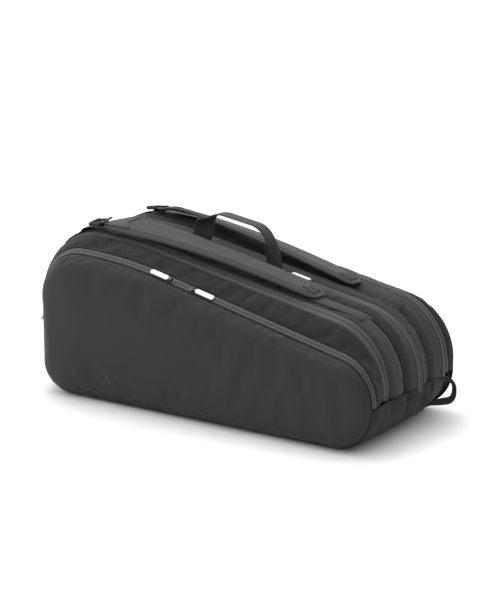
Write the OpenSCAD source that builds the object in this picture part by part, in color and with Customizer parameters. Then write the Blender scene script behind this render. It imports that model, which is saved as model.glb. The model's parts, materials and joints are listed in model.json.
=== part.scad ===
// Racket tournament bag: three racket compartments side by side, a zipped
// front pocket, two shoulder straps, a carry handle and an end loop.
// +X runs along the length towards the low grip end, the front panel faces
// -Y, +Z is up and z = 0 is the floor the base panel rests on.

/* [Bag size] */
// Distance from the origin to the tall end
tall_end_x = 390; // [380:1:396]
// Distance from the origin to the low end
low_end_x = 366; // [362:1:370]
// Height of the compartment tops over the origin
top_z = 272; // [270:1:275]
// Fall of the compartment tops, in mm for each mm of length
top_fall = 0.198; // [0.19:0.001:0.2]

/* [Walls] */
// Thickness of the foam-laminated compartment walls
wall_t = 4; // [3:0.5:5]
// Thickness of zip tape
tape_t = 1.6; // [1.2:0.1:2]
// Thickness of the base fabric
base_t = 2.5; // [2:0.5:3]
// Thickness of the inner divider sheets
divider_t = 3; // [2:0.5:4]
// Height of the base fabric wrapped up the two ends
skirt_z = 83; // [79:1:84]

/* [Zips] */
// Gap between the two tapes of a zip, filled by the coil
coil_gap = 2.4; // [2:0.1:3]
// Length of a pull tab
tab_len = 40; // [30:1:42]
// Width of a pull tab
tab_w = 9.5; // [8:0.5:10]
// Thickness of a pull tab
tab_t = 3; // [2:0.5:3]

/* [Straps and handles] */
// Width of a shoulder pad
pad_w = 56; // [48:1:56]
// Thickness of a shoulder pad
pad_t = 11; // [8:1:12]
// Width of the strap webbing
web_w = 25; // [20:1:26]
// Width of the carry handle
handle_w = 34; // [28:1:34]
// Thickness of the carry handle
handle_t = 3; // [2:0.5:4]
// Width of the end loop
loop_w = 15; // [12:1:16]

/* [Hidden] */

fabric = [0.20, 0.20, 0.21];
dark_fabric = [0.12, 0.12, 0.13];
zip_grey = [0.32, 0.32, 0.33];
lining = [0.26, 0.27, 0.29];
black = [0.07, 0.07, 0.07];
metal = [0.45, 0.45, 0.47];
white = [0.93, 0.93, 0.93];

gap = 0.3;                 // clearance between pieces
lobe_z = skirt_z + gap;    // lower edge of the walls sewn to the base
lid_z = skirt_z + 2;       // lower edge of the walls that open
tall_base_r = 60;          // radius between the base and the tall end
low_base_r = 76;           // radius between the base and the low end
end_slope = 0.05;          // fall of the top line left of its knee
knee_r = 800;              // radius of that knee
front_divider_y = -33.5;   // front faces of the two divider sheets
rear_divider_y = 52.5;

// ---- Side outlines -------------------------------------------------------
// A station is a side outline at one depth:
// [y, tall end x, low end x, top z at x = 0, top fall, knee x,
//  tall corner radius, low corner radius]
TE = -tall_end_x;
LE = low_end_x;
seam_front   = [-161, TE + 41, LE,      top_z - 40.5, 0.235,    -152, 92, 75];
pocket_rear  = [-145, TE + 32, LE + 1,  top_z - 32,   0.235,    -152, 96, 84];
zip_front_a  = [-110, TE + 10, LE - 8,  top_z - 11,   0.203,    -170, 118, 122];
zip_front_b  = [-88,  TE + 10, LE - 9,  top_z - 3.5,  0.2,      -170, 118, 120];
ridge_front  = [-64,  TE,      LE - 4,  top_z,        top_fall, -170, 125, 130];
valley_front = [front_divider_y - gap,  TE + 14, LE - 14, top_z - 12, top_fall, -170, 118, 125];
valley_mid_a = [front_divider_y + divider_t + gap,
                TE + 14, LE - 14, top_z - 12,   top_fall, -170, 118, 125];
ridge_mid_a  = [-11,  TE,      LE - 4,  top_z,        top_fall, -170, 125, 130];
zip_mid      = [2,    TE + 6,  LE - 3,  top_z - 5,    top_fall, -170, 120, 126];
zip_mid_b    = [18,   TE + 6,  LE - 3,  top_z - 5,    top_fall, -170, 120, 126];
ridge_mid_b  = [33,   TE,      LE - 6,  top_z,        top_fall, -170, 125, 130];
valley_mid_b = [rear_divider_y - gap,   TE + 14, LE - 17, top_z - 13, top_fall, -170, 118, 125];
valley_rear  = [rear_divider_y + divider_t + gap,
                TE + 14, LE - 17, top_z - 13,   top_fall, -170, 118, 125];
ridge_rear   = [82,   TE,      LE - 10, top_z,        top_fall, -170, 125, 130];
zip_rear_a   = [100,  TE + 8,  LE - 11, top_z - 1,    top_fall, -170, 120, 126];
zip_rear_b   = [120,  TE + 8,  LE - 13, top_z - 6,    top_fall, -170, 120, 126];
bulge_rear   = [133,  TE + 16, LE - 15, top_z - 12,   0.204,    -170, 110, 110];
seam_rear    = [146,  TE + 32, LE - 20, top_z - 26,   0.21,     -170, 100, 95];

function mix(a, b, f) = a + (b - a) * f;
function at_y(a, b, y) = mix(a, b, (y - a[0]) / (b[0] - a[0]));
function unit(v) = v / norm(v);
function turn(d) = d > 180 ? d - 360 : d < -180 ? d + 360 : d;
// Points of the arc of radius r that rounds corner b between a and c
function fillet(a, b, c, r, n) = let(
    u = unit(a - b), v = unit(c - b), half = acos(u * v) / 2,
    m = b + unit(u + v) * r / sin(half),
    s = b + u * r / tan(half) - m, e = b + v * r / tan(half) - m,
    a0 = atan2(s[1], s[0]), da = turn(atan2(e[1], e[0]) - a0))
    [for (i = [0:n]) m + r * [cos(a0 + da * i / n), sin(a0 + da * i / n)]];
// Height of a station's straight top line at x, moved in by t
function top_at(s, x, t) = s[3] - s[4] * x - t * sqrt(1 + s[4] * s[4]);
// Corners of a station's outline moved in by t, on a base at height zb
function p_low(s, t) = [s[2] - t, top_at(s, s[2] - t, t)];
function p_knee(s, t) = [s[5], top_at(s, s[5], t)];
function p_tall(s, t) = [s[1] + t, top_at(s, s[5], t) + end_slope * (s[5] - s[1])];
// Top outline from the tall end over to the low end, both cut at height z
function top_path(s, t, z) = concat(
    [[s[1] + t, z]],
    fillet([s[1] + t, z], p_tall(s, t), p_knee(s, t), s[6] - t, 6),
    fillet(p_tall(s, t), p_knee(s, t), p_low(s, t), knee_r, 2),
    fillet(p_knee(s, t), p_low(s, t), [s[2] - t, z], s[7] - t, 7),
    [[s[2] - t, z]]);
// Closed outline of a station moved in by t
function full_path(s, t, zb) = let(
    bl = [s[1] + t, zb + t], br = [s[2] - t, zb + t])
    concat(
    fillet(bl + [0, 100], bl, bl + [100, 0], tall_base_r - t, 5),
    fillet(br - [100, 0], br, br + [0, 60], low_base_r - t, 5),
    fillet(br, p_low(s, t), p_knee(s, t), s[7] - t, 7),
    fillet(p_low(s, t), p_knee(s, t), p_tall(s, t), knee_r, 2),
    fillet(p_knee(s, t), p_tall(s, t), bl, s[6] - t, 6));

// ---- Solids built from stations -------------------------------------------
function quad(a, b, c, d) = [[a, b, c], [a, c, d]];
// Arched wall through the stations, t thick, with its ends cut at height z
module arch(stations, t, z) {
    n = len(top_path(stations[0], 0, z));
    k = len(stations);
    pts = [for (s = stations) each concat(
        [for (p = top_path(s, 0, z)) [p[0], s[0], p[1]]],
        [for (p = top_path(s, t, z)) [p[0], s[0], p[1]]])];
    faces = concat(
        [for (j = [0:k - 2], i = [0:n - 2]) let(o = j * 2 * n, q = o + 2 * n)
            each quad(o + i, o + i + 1, q + i + 1, q + i)],
        [for (j = [0:k - 2], i = [0:n - 2]) let(o = j * 2 * n + n, q = o + 2 * n)
            each quad(q + i, q + i + 1, o + i + 1, o + i)],
        [for (i = [0:n - 2]) each quad(i, n + i, n + i + 1, i + 1)],
        [for (i = [0:n - 2]) let(o = (k - 1) * 2 * n)
            each quad(o + i + 1, o + n + i + 1, o + n + i, o + i)],
        [for (j = [0:k - 2]) let(o = j * 2 * n, q = o + 2 * n)
            each quad(o, q, q + n, o + n)],
        [for (j = [0:k - 2]) let(o = j * 2 * n + n - 1, q = o + 2 * n)
            each quad(o + n, q + n, q, o)]);
    polyhedron(pts, faces, convexity = 4);
}
// Crowned panel: outer and inner loops given as [y, inset]; the first of each
// is at the seam and the last is closed by a flat cap
module crown(s, outer, inner, zb) {
    n = len(full_path(s, 0, zb));
    ko = len(outer);
    ki = len(inner);
    loops = concat(outer, inner);
    pts = [for (l = loops) each [for (p = full_path(s, l[1], zb)) [p[0], l[0], p[1]]]];
    f = outer[ko - 1][0] < outer[0][0] ? 1 : -1;
    side = concat(
        [for (j = [0:ko - 2], i = [0:n - 1]) let(e = (i + 1) % n)
            each quad(j * n + e, j * n + i, (j + 1) * n + i, (j + 1) * n + e)],
        [for (j = [0:ki - 2], i = [0:n - 1]) let(e = (i + 1) % n, o = (ko + j) * n)
            each quad(o + i, o + e, o + n + e, o + n + i)],
        [for (i = [0:n - 1]) let(e = (i + 1) % n, o = ko * n)
            each quad(i, e, o + e, o + i)],
        [[for (i = [n - 1:-1:0]) (ko - 1) * n + i]],
        [[for (i = [0:n - 1]) (ko + ki - 1) * n + i]]);
    faces = f > 0 ? side : [for (a = side) [for (i = [len(a) - 1:-1:0]) a[i]]];
    polyhedron(pts, faces, convexity = 4);
}
// Flat sheet of a station's outline moved in by t, from depth y0 to y1
module sheet(s, t, y0, y1, zb) {
    translate([0, y1, 0]) rotate([90, 0, 0])
        linear_extrude(y1 - y0) polygon(full_path(s, t, zb));
}
// Ring of a station's outline between insets t0 and t1
module ring(s, t0, t1, y0, y1, zb) {
    translate([0, y1, 0]) rotate([90, 0, 0]) linear_extrude(y1 - y0) difference() {
        polygon(full_path(s, t0, zb));
        polygon(full_path(s, t1, zb));
    }
}
// Prism along y of a side outline, w deep and centred on the plane y = 0
module side_prism(path, w) {
    translate([0, w / 2, 0]) rotate([90, 0, 0]) linear_extrude(w) polygon(path);
}

// ---- Base and ends ---------------------------------------------------------
front_piping_y = seam_front[0] + 3.5;
rear_piping_y = seam_rear[0] - 3;
base_y0 = -151;
base_y1 = 139;
base_x0 = TE + 10 + tall_base_r;
base_x1 = LE - low_base_r;
board_t = 3;               // stiffening board that lies on the base panel
board_in = 9;              // distance from the base panel's edges to the board
module base_panel() {
    color(dark_fabric) translate([base_x0, base_y0, 0])
        cube([base_x1 - base_x0, base_y1 - base_y0, base_t]);
}
module base_board() {
    color(black) translate([base_x0 + board_in, base_y0 + 2 * board_in, base_t + gap])
        cube([base_x1 - base_x0 - 2 * board_in, base_y1 - base_y0 - 4 * board_in, board_t]);
}
// End skirt through stations [y, end x]; side is 1 at the low end, -1 at the tall end
module skirt(stations, side) {
    n = 7;
    base_r = side > 0 ? low_base_r : tall_base_r;
    pts = [for (s = stations) let(m = [s[1] - side * base_r, base_r]) each concat(
        [[m[0] + side * base_r, s[0], skirt_z]],
        [for (i = [0:n - 3]) let(a = -90 * i / (n - 2))
            [m[0] + side * base_r * cos(a), s[0], m[1] + base_r * sin(a)]],
        [[(side > 0 ? base_x1 : base_x0) + side * gap, s[0], 0]],
        [[(side > 0 ? base_x1 : base_x0) + side * gap, s[0], base_t]],
        [for (i = [n - 3:-1:0]) let(a = -90 * i / (n - 2), r = base_r - base_t)
            [m[0] + side * r * cos(a), s[0], m[1] + r * sin(a)]],
        [[m[0] + side * (base_r - base_t), s[0], skirt_z]])];
    c = 2 * n;
    k = len(stations);
    raw = concat(
        [for (j = [0:k - 2], i = [0:c - 1]) let(e = (i + 1) % c)
            each quad(j * c + i, j * c + e, (j + 1) * c + e, (j + 1) * c + i)],
        [for (j = [0, k - 1], i = [0:n - 2]) let(o = j * c, q = [i, c - 1 - i, c - 2 - i, i + 1])
            each (j == 0 ? quad(o + q[0], o + q[1], o + q[2], o + q[3])
                         : quad(o + q[3], o + q[2], o + q[1], o + q[0]))]);
    faces = side < 0 ? raw : [for (a = raw) [a[2], a[1], a[0]]];
    polyhedron(pts, faces, convexity = 4);
}
module low_end_skirt() {
    color(dark_fabric) skirt([[base_y0, LE - 1], [-60, LE], [70, LE - 6], [base_y1, LE - 24]], 1);
}
module tall_end_skirt() {
    color(dark_fabric) skirt([[base_y0, TE + 38], [-110, TE + 10], [90, TE + 10],
                              [base_y1, TE + 34]], -1);
}

// ---- Compartment walls -----------------------------------------------------
divider_z = base_t + board_t + 2 * gap;
module front_divider() {
    color(lining) sheet(valley_front, 0, front_divider_y, front_divider_y + divider_t, divider_z);
}
module rear_divider() {
    color(lining) sheet(valley_rear, 0, rear_divider_y, rear_divider_y + divider_t, divider_z);
}
function half_zip_y(a, b, side) = (a[0] + b[0] + side * coil_gap) / 2;
function zip_edge(a, b, side) = at_y(a, b, half_zip_y(a, b, side));
module front_shoulder() {
    color(fabric) arch([zip_front_b, ridge_front, valley_front], wall_t, lobe_z);
}
module centre_front_gusset() {
    color(fabric) arch([valley_mid_a, ridge_mid_a, zip_mid], wall_t, lobe_z);
}
module centre_rear_gusset() {
    color(fabric) arch([zip_mid_b, ridge_mid_b, valley_mid_b], wall_t, lobe_z);
}
module rear_shoulder() {
    color(fabric) arch([valley_rear, ridge_rear, zip_rear_a], wall_t, lobe_z);
}
module front_gusset() {
    color(dark_fabric) arch([pocket_rear, zip_front_a], wall_t, lid_z);
}
module rear_gusset() {
    color(dark_fabric) arch([zip_rear_b, bulge_rear, at_y(bulge_rear, seam_rear, rear_piping_y)],
                            wall_t, lid_z);
}

// ---- Zip tapes ---------------------------------------------------------------
module pocket_zip_front_tape() {
    color(zip_grey) arch([at_y(seam_front, pocket_rear, front_piping_y),
                          zip_edge(seam_front, pocket_rear, -1)], tape_t, lid_z);
}
module pocket_zip_rear_tape() {
    color(zip_grey) arch([zip_edge(seam_front, pocket_rear, 1), pocket_rear], tape_t, lid_z);
}
module front_zip_front_tape() {
    color(zip_grey) arch([zip_front_a, zip_edge(zip_front_a, zip_front_b, -1)], tape_t, lid_z);
}
module front_zip_rear_tape() {
    color(zip_grey) arch([zip_edge(zip_front_a, zip_front_b, 1), zip_front_b], tape_t, lobe_z);
}
module centre_zip_front_tape() {
    color(zip_grey) arch([zip_mid, zip_edge(zip_mid, zip_mid_b, -1)], tape_t, lobe_z);
}
module centre_zip_rear_tape() {
    color(zip_grey) arch([zip_edge(zip_mid, zip_mid_b, 1), zip_mid_b], tape_t, lobe_z);
}
module rear_zip_front_tape() {
    color(zip_grey) arch([zip_rear_a, zip_edge(zip_rear_a, zip_rear_b, -1)], tape_t, lobe_z);
}
module rear_zip_rear_tape() {
    color(zip_grey) arch([zip_edge(zip_rear_a, zip_rear_b, 1), zip_rear_b], tape_t, lid_z);
}

// ---- Front pocket and back panel ---------------------------------------------
panel_zb = 6;              // lower edge of the two panels
skin_t = 2;
piping_w = 4;              // the piping band over a panel's seam is this thick
piping_out = -1.5;         // and stands out of the seam by this much
pocket_back_in = 7.5;      // distance from the pocket's back sheet to the zip tape over it
module front_panel() {
    y = seam_front[0];
    color(fabric) crown(seam_front,
        [[y, 0], [y - 9, 2], [y - 15, 9], [y - 19, 26]],
        [[y, skin_t + 1], [y - 7.5, skin_t + 2.5], [y - 13, 10.5], [y - 19 + skin_t, 27]], panel_zb);
}
module front_foam() {
    y = seam_front[0];
    color(lining) crown(seam_front,
        [[y, skin_t + 1.5], [y - 7, skin_t + 3.3], [y - 12.4, 11.5], [y - 16.7, 27.5]],
        [[y, skin_t + 5], [y - 4.5, skin_t + 6.5], [y - 9.4, 14.5], [y - 13.7, 28.5]], panel_zb);
}
module front_piping() {
    color(black) ring(seam_front, piping_out, piping_out + piping_w, seam_front[0] + 0.1,
                      front_piping_y - 0.1, panel_zb);
}
module pocket_back() {
    color(lining) sheet(pocket_rear, tape_t + pocket_back_in, pocket_rear[0] - 4,
                        pocket_rear[0] - 2.4, panel_zb + 3);
}
module back_panel() {
    y = seam_rear[0] + gap;
    color(fabric) crown(seam_rear,
        [[y, 0], [y + 7, 2], [y + 12, 9], [y + 15, 26]],
        [[y, skin_t + 1], [y + 5.5, skin_t + 2.5], [y + 10, 10.5], [y + 15 - skin_t, 27]], panel_zb);
}
module back_foam() {
    y = seam_rear[0] + gap;
    color(lining) crown(seam_rear,
        [[y, skin_t + 1.5], [y + 5, skin_t + 3.3], [y + 9.4, 11.5], [y + 12.7, 27.5]],
        [[y, skin_t + 5], [y + 2, skin_t + 6.5], [y + 6.4, 14.5], [y + 9.7, 28.5]], panel_zb);
}
module rear_piping() {
    color(black) ring(seam_rear, piping_out, piping_out + piping_w, rear_piping_y + 0.1,
                      seam_rear[0], panel_zb);
}

// ---- Zip sliders and pulls ----------------------------------------------------
// Local frame: x along the track, y across the tapes, z out of them; the
// tapes' outer face is z = 0 and the pull points along -x.
slider_l = 15;
slider_w = 9;
pin_z = 3.4;
pin_r = 0.8;
barrel_r = 1.7;
module slider_shape() {
    plate = [[-slider_l / 2, -2.2], [-slider_l / 4, -slider_w / 2], [slider_l / 3, -slider_w / 2],
             [slider_l / 2, -1.6], [slider_l / 2, 1.6], [slider_l / 3, slider_w / 2],
             [-slider_l / 4, slider_w / 2], [-slider_l / 2, 2.2]];
    color(metal) {
        translate([0, 0, 0.4]) linear_extrude(1.1) polygon(plate);
        translate([-2, -0.4, -1]) cube([6, 0.8, 1.6]);
        for (s = [-1, 1]) translate([-1.6, s * 3.3 - 0.6, 1.2]) cube([3.2, 1.2, pin_z]);
        translate([0, 3, pin_z]) rotate([90, 0, 0]) cylinder(h = 6, r = pin_r, $fn = 24);
    }
}
tongue_x0 = -12;
tongue_x1 = -1.2;
module link_tongue(grow) {
    translate([tongue_x0 - grow, -2 - grow, pin_z - 0.6 - grow])
        cube([tongue_x1 - tongue_x0 + grow, 4 + 2 * grow, 1.2 + 2 * grow]);
}
module link_shape() {
    color(metal) difference() {
        union() {
            translate([0, 2.4, pin_z]) rotate([90, 0, 0]) cylinder(h = 4.8, r = barrel_r, $fn = 24);
            link_tongue(0);
        }
        translate([0, 4, pin_z]) rotate([90, 0, 0]) cylinder(h = 8, r = pin_r + 0.1, $fn = 24);
    }
}
module tab_shape() {
    r = tab_w / 2;
    color(white) difference() {
        translate([0, 0, pin_z - tab_t / 2]) linear_extrude(tab_t) union() {
            translate([-6 - r, 0]) circle(r = r, $fn = 40);
            translate([-6 - tab_len + r, 0]) circle(r = r, $fn = 40);
            translate([-6 - tab_len + r, -r]) square([tab_len - 2 * r, tab_w]);
        }
        link_tongue(0.05);
    }
}
// Frame on the top stretch of a zip between stations a and b, at length x;
// dir = 1 points the pull at the tall end, -1 at the low end
function cross_fall(a, b) = (b[3] - a[3]) / (b[0] - a[0]);
module on_top_zip(a, b, x, dir) {
    y = (a[0] + b[0]) / 2;
    s = cross_fall(a, b);
    translate([x, y, top_at(mix(a, b, 0.5), x, 0)]) rotate([0, atan(a[4]), 0])
        rotate([asin(s / sqrt(1 + a[4] * a[4] + s * s)), 0, 0])
        rotate([0, 0, dir > 0 ? 0 : 180]) children();
}
// Frame on the tall end wall of a zip, at height z; the pull points down
module on_end_zip(a, b, z) {
    translate([a[1], (a[0] + b[0]) / 2, z]) rotate([0, -90, 0]) children();
}
pocket_slider_x = [-54, -6];
centre_slider_x = 89;
end_slider_z = 153;
front_pull_tilt = 35;      // the front compartment's pull stands off its wall
module tilted_pull(angle) {
    translate([0, 0, pin_z]) rotate([0, angle, 0]) translate([0, 0, -pin_z]) children();
}
module pocket_slider_a() { on_top_zip(seam_front, pocket_rear, pocket_slider_x[0], 1) slider_shape(); }
module pocket_link_a() { on_top_zip(seam_front, pocket_rear, pocket_slider_x[0], 1) link_shape(); }
module pocket_tab_a() { on_top_zip(seam_front, pocket_rear, pocket_slider_x[0], 1) tab_shape(); }
module pocket_slider_b() { on_top_zip(seam_front, pocket_rear, pocket_slider_x[1], -1) slider_shape(); }
module pocket_link_b() { on_top_zip(seam_front, pocket_rear, pocket_slider_x[1], -1) link_shape(); }
module pocket_tab_b() { on_top_zip(seam_front, pocket_rear, pocket_slider_x[1], -1) tab_shape(); }
module centre_slider() { on_top_zip(zip_mid, zip_mid_b, centre_slider_x, -1) slider_shape(); }
module centre_link() { on_top_zip(zip_mid, zip_mid_b, centre_slider_x, -1) link_shape(); }
module centre_tab() { on_top_zip(zip_mid, zip_mid_b, centre_slider_x, -1) tab_shape(); }
module front_slider() { on_end_zip(zip_front_a, zip_front_b, end_slider_z) slider_shape(); }
module front_link() {
    on_end_zip(zip_front_a, zip_front_b, end_slider_z) tilted_pull(front_pull_tilt) link_shape();
}
module front_tab() {
    on_end_zip(zip_front_a, zip_front_b, end_slider_z) tilted_pull(front_pull_tilt) tab_shape();
}
module rear_slider() { on_end_zip(zip_rear_a, zip_rear_b, end_slider_z) slider_shape(); }
module rear_link() { on_end_zip(zip_rear_a, zip_rear_b, end_slider_z) link_shape(); }
module rear_tab() { on_end_zip(zip_rear_a, zip_rear_b, end_slider_z) tab_shape(); }

// ---- Shoulder straps -----------------------------------------------------------
// Local frame: origin on the hinge at the pad's sewn end, x down the slope,
// y across, z up; the pad lies along -x and its underside is z = 0.
strap_root = [203, 60, 236];
strap_tip = [-262, 87, 324];
strap_yaw = atan((strap_tip[1] - strap_root[1]) / (strap_root[0] - strap_tip[0]));
strap_fall = atan((strap_tip[2] - strap_root[2])
    / norm([strap_tip[0] - strap_root[0], strap_tip[1] - strap_root[1]]));
strap_len = norm(strap_tip - strap_root);
web_drop = 5.2;            // webbing runs this far under the buckle's pad bar
web_t = 1.6;
bar_r = 2;
module strap_frame(side) {
    translate([strap_root[0], side * strap_root[1], strap_root[2]])
        rotate([0, 0, -side * strap_yaw]) rotate([0, strap_fall, 0]) children();
}
module pad_root_shape() {
    h = pad_w / 2;
    color(fabric) linear_extrude(pad_t) polygon([
        [-strap_len / 2 + gap, -h], [-14, -h], [-4, -h + 4], [-0.5, -h + 12],
        [-0.5, h - 12], [-4, h - 4], [-14, h], [-strap_len / 2 + gap, h]]);
}
module pad_tip_shape() {
    h = pad_w / 2;
    e = -strap_len;
    color(fabric) linear_extrude(pad_t) polygon([
        [-strap_len / 2 - gap, -h], [e + 90, -h], [e + 30, -h + 5], [e + 14, -h + 10],
        [e + 8, -13], [e + 8, 13],
        [e + 14, h - 10], [e + 30, h - 5], [e + 90, h], [-strap_len / 2 - gap, h]]);
    color(dark_fabric) difference() {
        union() {
            translate([e, 12, 0]) rotate([90, 0, 0]) cylinder(h = 24, r = bar_r + 2, $fn = 32);
            translate([e, -12, 0]) cube([8, 24, bar_r + 1.5]);
        }
        translate([e, 13, 0]) rotate([90, 0, 0]) cylinder(h = 26, r = bar_r + 0.3, $fn = 32);
    }
}
// Ladder-lock buckle: the webbing runs between its two adjuster bars
module buckle_shape() {
    e = -strap_len;
    rail = 4.5;
    low = web_drop + 3.9;
    color(black) {
        for (s = [-1, 1]) translate([e - 26, s > 0 ? 13.5 : -13.5 - rail, -low])
            cube([29, rail, low + 2.4]);
        translate([e, 13.6, 0]) rotate([90, 0, 0]) cylinder(h = 27.2, r = bar_r, $fn = 32);
        translate([e - 12, 13.6, -web_drop - 2.5]) rotate([90, 0, 0])
            cylinder(h = 27.2, r = 1.4, $fn = 24);
        translate([e - 22, 13.6, -web_drop + 2.8]) rotate([90, 0, 0])
            cylinder(h = 27.2, r = 1.6, $fn = 24);
        translate([e - 35, -11, -web_drop + 1.6]) cube([12, 22, 2.4]);
    }
}
// Webbing from its anchor on the tall shoulder, through the buckle, to its end
module webbing_shape() {
    e = -strap_len;
    z = -web_drop;
    h = web_t / 2;
    color(black) side_prism([
        [e + 58, z - h], [e + 58, z + h], [e - 26, z + h], [e - 36, z - 13 + h],
        [e - 57, z - 27 + h], [e - 57, z - 27 - h], [e - 37, z - 13 - h], [e - 27, z - h]], web_w);
}
// Flat fabric tail that carries the pad's sewn end down the slope
tail_w = 46;
module strap_tail_shape() {
    color(fabric) side_prism([[3, 0.4], [50, 0.4], [90, -7.6], [90, -5.6], [50, 2.4], [3, 2.4]],
                             tail_w);
}
module front_pad_root() { strap_frame(-1) pad_root_shape(); }
module front_pad_tip() { strap_frame(-1) pad_tip_shape(); }
module front_buckle() { strap_frame(-1) buckle_shape(); }
module front_webbing() { strap_frame(-1) webbing_shape(); }
module front_strap_tail() { strap_frame(-1) strap_tail_shape(); }
module rear_pad_root() { strap_frame(1) pad_root_shape(); }
module rear_pad_tip() { strap_frame(1) pad_tip_shape(); }
module rear_buckle() { strap_frame(1) buckle_shape(); }
module rear_webbing() { strap_frame(1) webbing_shape(); }
module rear_strap_tail() { strap_frame(1) strap_tail_shape(); }

// ---- Carry handle and end loop ---------------------------------------------------
handle_y = -14;
handle_x = [-92, 78];      // where the handle's two ends are sewn down
handle_lift = 2.5;         // of the handle's sewn ends over the shoulder
handle_corner_a = [-74, 357];
handle_corner_b = [62, 335];
function handle_foot(x) = top_at(ridge_mid_a, x, 0) + handle_lift;
function handle_line(t) = let(
    a = [handle_x[0] + t, handle_foot(handle_x[0])], b = handle_corner_a + [t, -t],
    c = handle_corner_b - [t, t], d = [handle_x[1] - t, handle_foot(handle_x[1])])
    concat([a], fillet(a, b, c, 50 - t, 7), fillet(b, c, d, 46 - t, 6), [d]);
module carry_handle() {
    outer = handle_line(0);
    inner = handle_line(handle_t);
    color(black) translate([0, handle_y, 0])
        side_prism(concat(outer, [for (i = [len(inner) - 1:-1:0]) inner[i]]), handle_w);
}
module handle_tabs() {
    color(black) for (x = handle_x) translate([x, ridge_mid_a[0], top_at(ridge_mid_a, x, 0)])
        rotate([0, atan(top_fall), 0]) translate([-12, -1.5, gap - 0.2]) cube([24, 3, 1]);
}
loop_y = 52;
loop_top = [LE + 6, 88];   // where the loop's two ends leave the skirt
loop_low = [LE - 1, 43];
loop_far = [LE + 43, 98];  // corners that its rounded run is drawn inside
loop_near = [LE + 42, 55];
loop_tab_angle = 27;       // of the lower tab round the base radius
function loop_line(t) = let(
    a = loop_top - [0, t], b = loop_far - [t, t], c = loop_near + [-t, t], d = loop_low + [0, t])
    concat([a], fillet(a, b, c, 16 - t, 5), fillet(b, c, d, 20 - t, 5), [d]);
module end_loop() {
    outer = loop_line(0);
    inner = loop_line(2);
    color(black) translate([0, loop_y, 0])
        side_prism(concat(outer, [for (i = [len(inner) - 1:-1:0]) inner[i]]), loop_w);
}
module loop_tabs() {
    color(black) {
        translate([LE + gap, loop_y - loop_w / 2, skirt_z - 8]) cube([1.2, loop_w, 7]);
        translate([LE - low_base_r, loop_y - loop_w / 2, low_base_r]) rotate([0, loop_tab_angle, 0])
            translate([low_base_r + gap, 0, -4]) cube([1.2, loop_w, 8]);
    }
}

base_panel();
base_board();
low_end_skirt();
tall_end_skirt();
front_divider();
rear_divider();
front_shoulder();
centre_front_gusset();
centre_rear_gusset();
rear_shoulder();
front_zip_rear_tape();
centre_zip_front_tape();
centre_zip_rear_tape();
rear_zip_front_tape();
front_gusset();
pocket_back();
front_zip_front_tape();
pocket_zip_rear_tape();
front_panel();
front_foam();
front_piping();
pocket_zip_front_tape();
rear_gusset();
back_panel();
back_foam();
rear_piping();
rear_zip_rear_tape();
pocket_slider_a();
pocket_link_a();
pocket_tab_a();
pocket_slider_b();
pocket_link_b();
pocket_tab_b();
front_slider();
front_link();
front_tab();
centre_slider();
centre_link();
centre_tab();
rear_slider();
rear_link();
rear_tab();
front_pad_root();
front_pad_tip();
front_buckle();
front_webbing();
front_strap_tail();
rear_pad_root();
rear_pad_tip();
rear_buckle();
rear_webbing();
rear_strap_tail();
carry_handle();
handle_tabs();
end_loop();
loop_tabs();
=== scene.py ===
"""Looks of the racket tournament bag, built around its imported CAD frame."""

import json
from math import acos, atan2, cos, pi, radians, sin, sqrt, tan

import bmesh
import bpy
import numpy as np
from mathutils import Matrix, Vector, geometry, noise
from mathutils.bvhtree import BVHTree


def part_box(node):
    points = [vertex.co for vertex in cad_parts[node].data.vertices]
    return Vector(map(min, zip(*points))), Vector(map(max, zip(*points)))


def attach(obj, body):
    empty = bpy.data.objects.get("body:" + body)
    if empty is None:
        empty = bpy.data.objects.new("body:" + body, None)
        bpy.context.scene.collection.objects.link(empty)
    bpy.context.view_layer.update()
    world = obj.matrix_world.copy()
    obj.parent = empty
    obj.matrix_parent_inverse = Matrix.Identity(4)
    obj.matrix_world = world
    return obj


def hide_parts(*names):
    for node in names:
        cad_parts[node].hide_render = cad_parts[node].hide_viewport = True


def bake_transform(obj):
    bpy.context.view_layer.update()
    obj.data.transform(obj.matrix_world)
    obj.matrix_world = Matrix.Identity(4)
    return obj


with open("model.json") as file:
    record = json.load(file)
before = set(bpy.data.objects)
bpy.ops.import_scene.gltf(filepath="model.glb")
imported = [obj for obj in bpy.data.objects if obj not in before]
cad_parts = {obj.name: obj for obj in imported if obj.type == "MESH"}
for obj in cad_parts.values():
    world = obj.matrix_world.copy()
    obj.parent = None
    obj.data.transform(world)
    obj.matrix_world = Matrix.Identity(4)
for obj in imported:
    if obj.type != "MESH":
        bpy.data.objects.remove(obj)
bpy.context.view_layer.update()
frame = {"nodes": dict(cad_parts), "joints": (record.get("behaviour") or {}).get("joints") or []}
scene = bpy.context.scene

# ---- Driving dimensions, in millimetres, as the CAD has them -------------------
MM = 0.001


def edge(node, corner, axis):
    """One coordinate of a CAD node's box, in millimetres."""
    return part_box(node)[corner][axis] / MM


TALL = edge("front_shoulder", 0, 0)        # tall end
LOW = edge("low_end_skirt", 1, 0)          # low end
TOP = 272.0                                # height of the compartment tops at x = 0
FALL = 0.198                               # their fall along x
SKIRT_Z = edge("low_end_skirt", 1, 2)      # upper edge of the wrapped base fabric
TALL_R = 60.0                              # radius between the base and the tall end
LOW_R = 76.0                               # radius between the base and the low end
PANEL_Z = edge("front_panel", 0, 2)        # lower edge of the two panels
WALL = 4.0                                 # thickness of the foam-laminated walls
END_SLOPE = 0.05                           # fall of the tops from the knee to the tall end
KNEE_R = 800.0                             # radius of the knee between the two slopes
KNEE_X, PANEL_KNEE_X = -170, -152          # where the knee lies, on the walls and on the panels
COIL_GAP = 0.9                             # gap between a zip's two tapes
DIV_F = (edge("front_divider", 0, 1), edge("front_divider", 1, 1))
DIV_R = (edge("rear_divider", 0, 1), edge("rear_divider", 1, 1))


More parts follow.
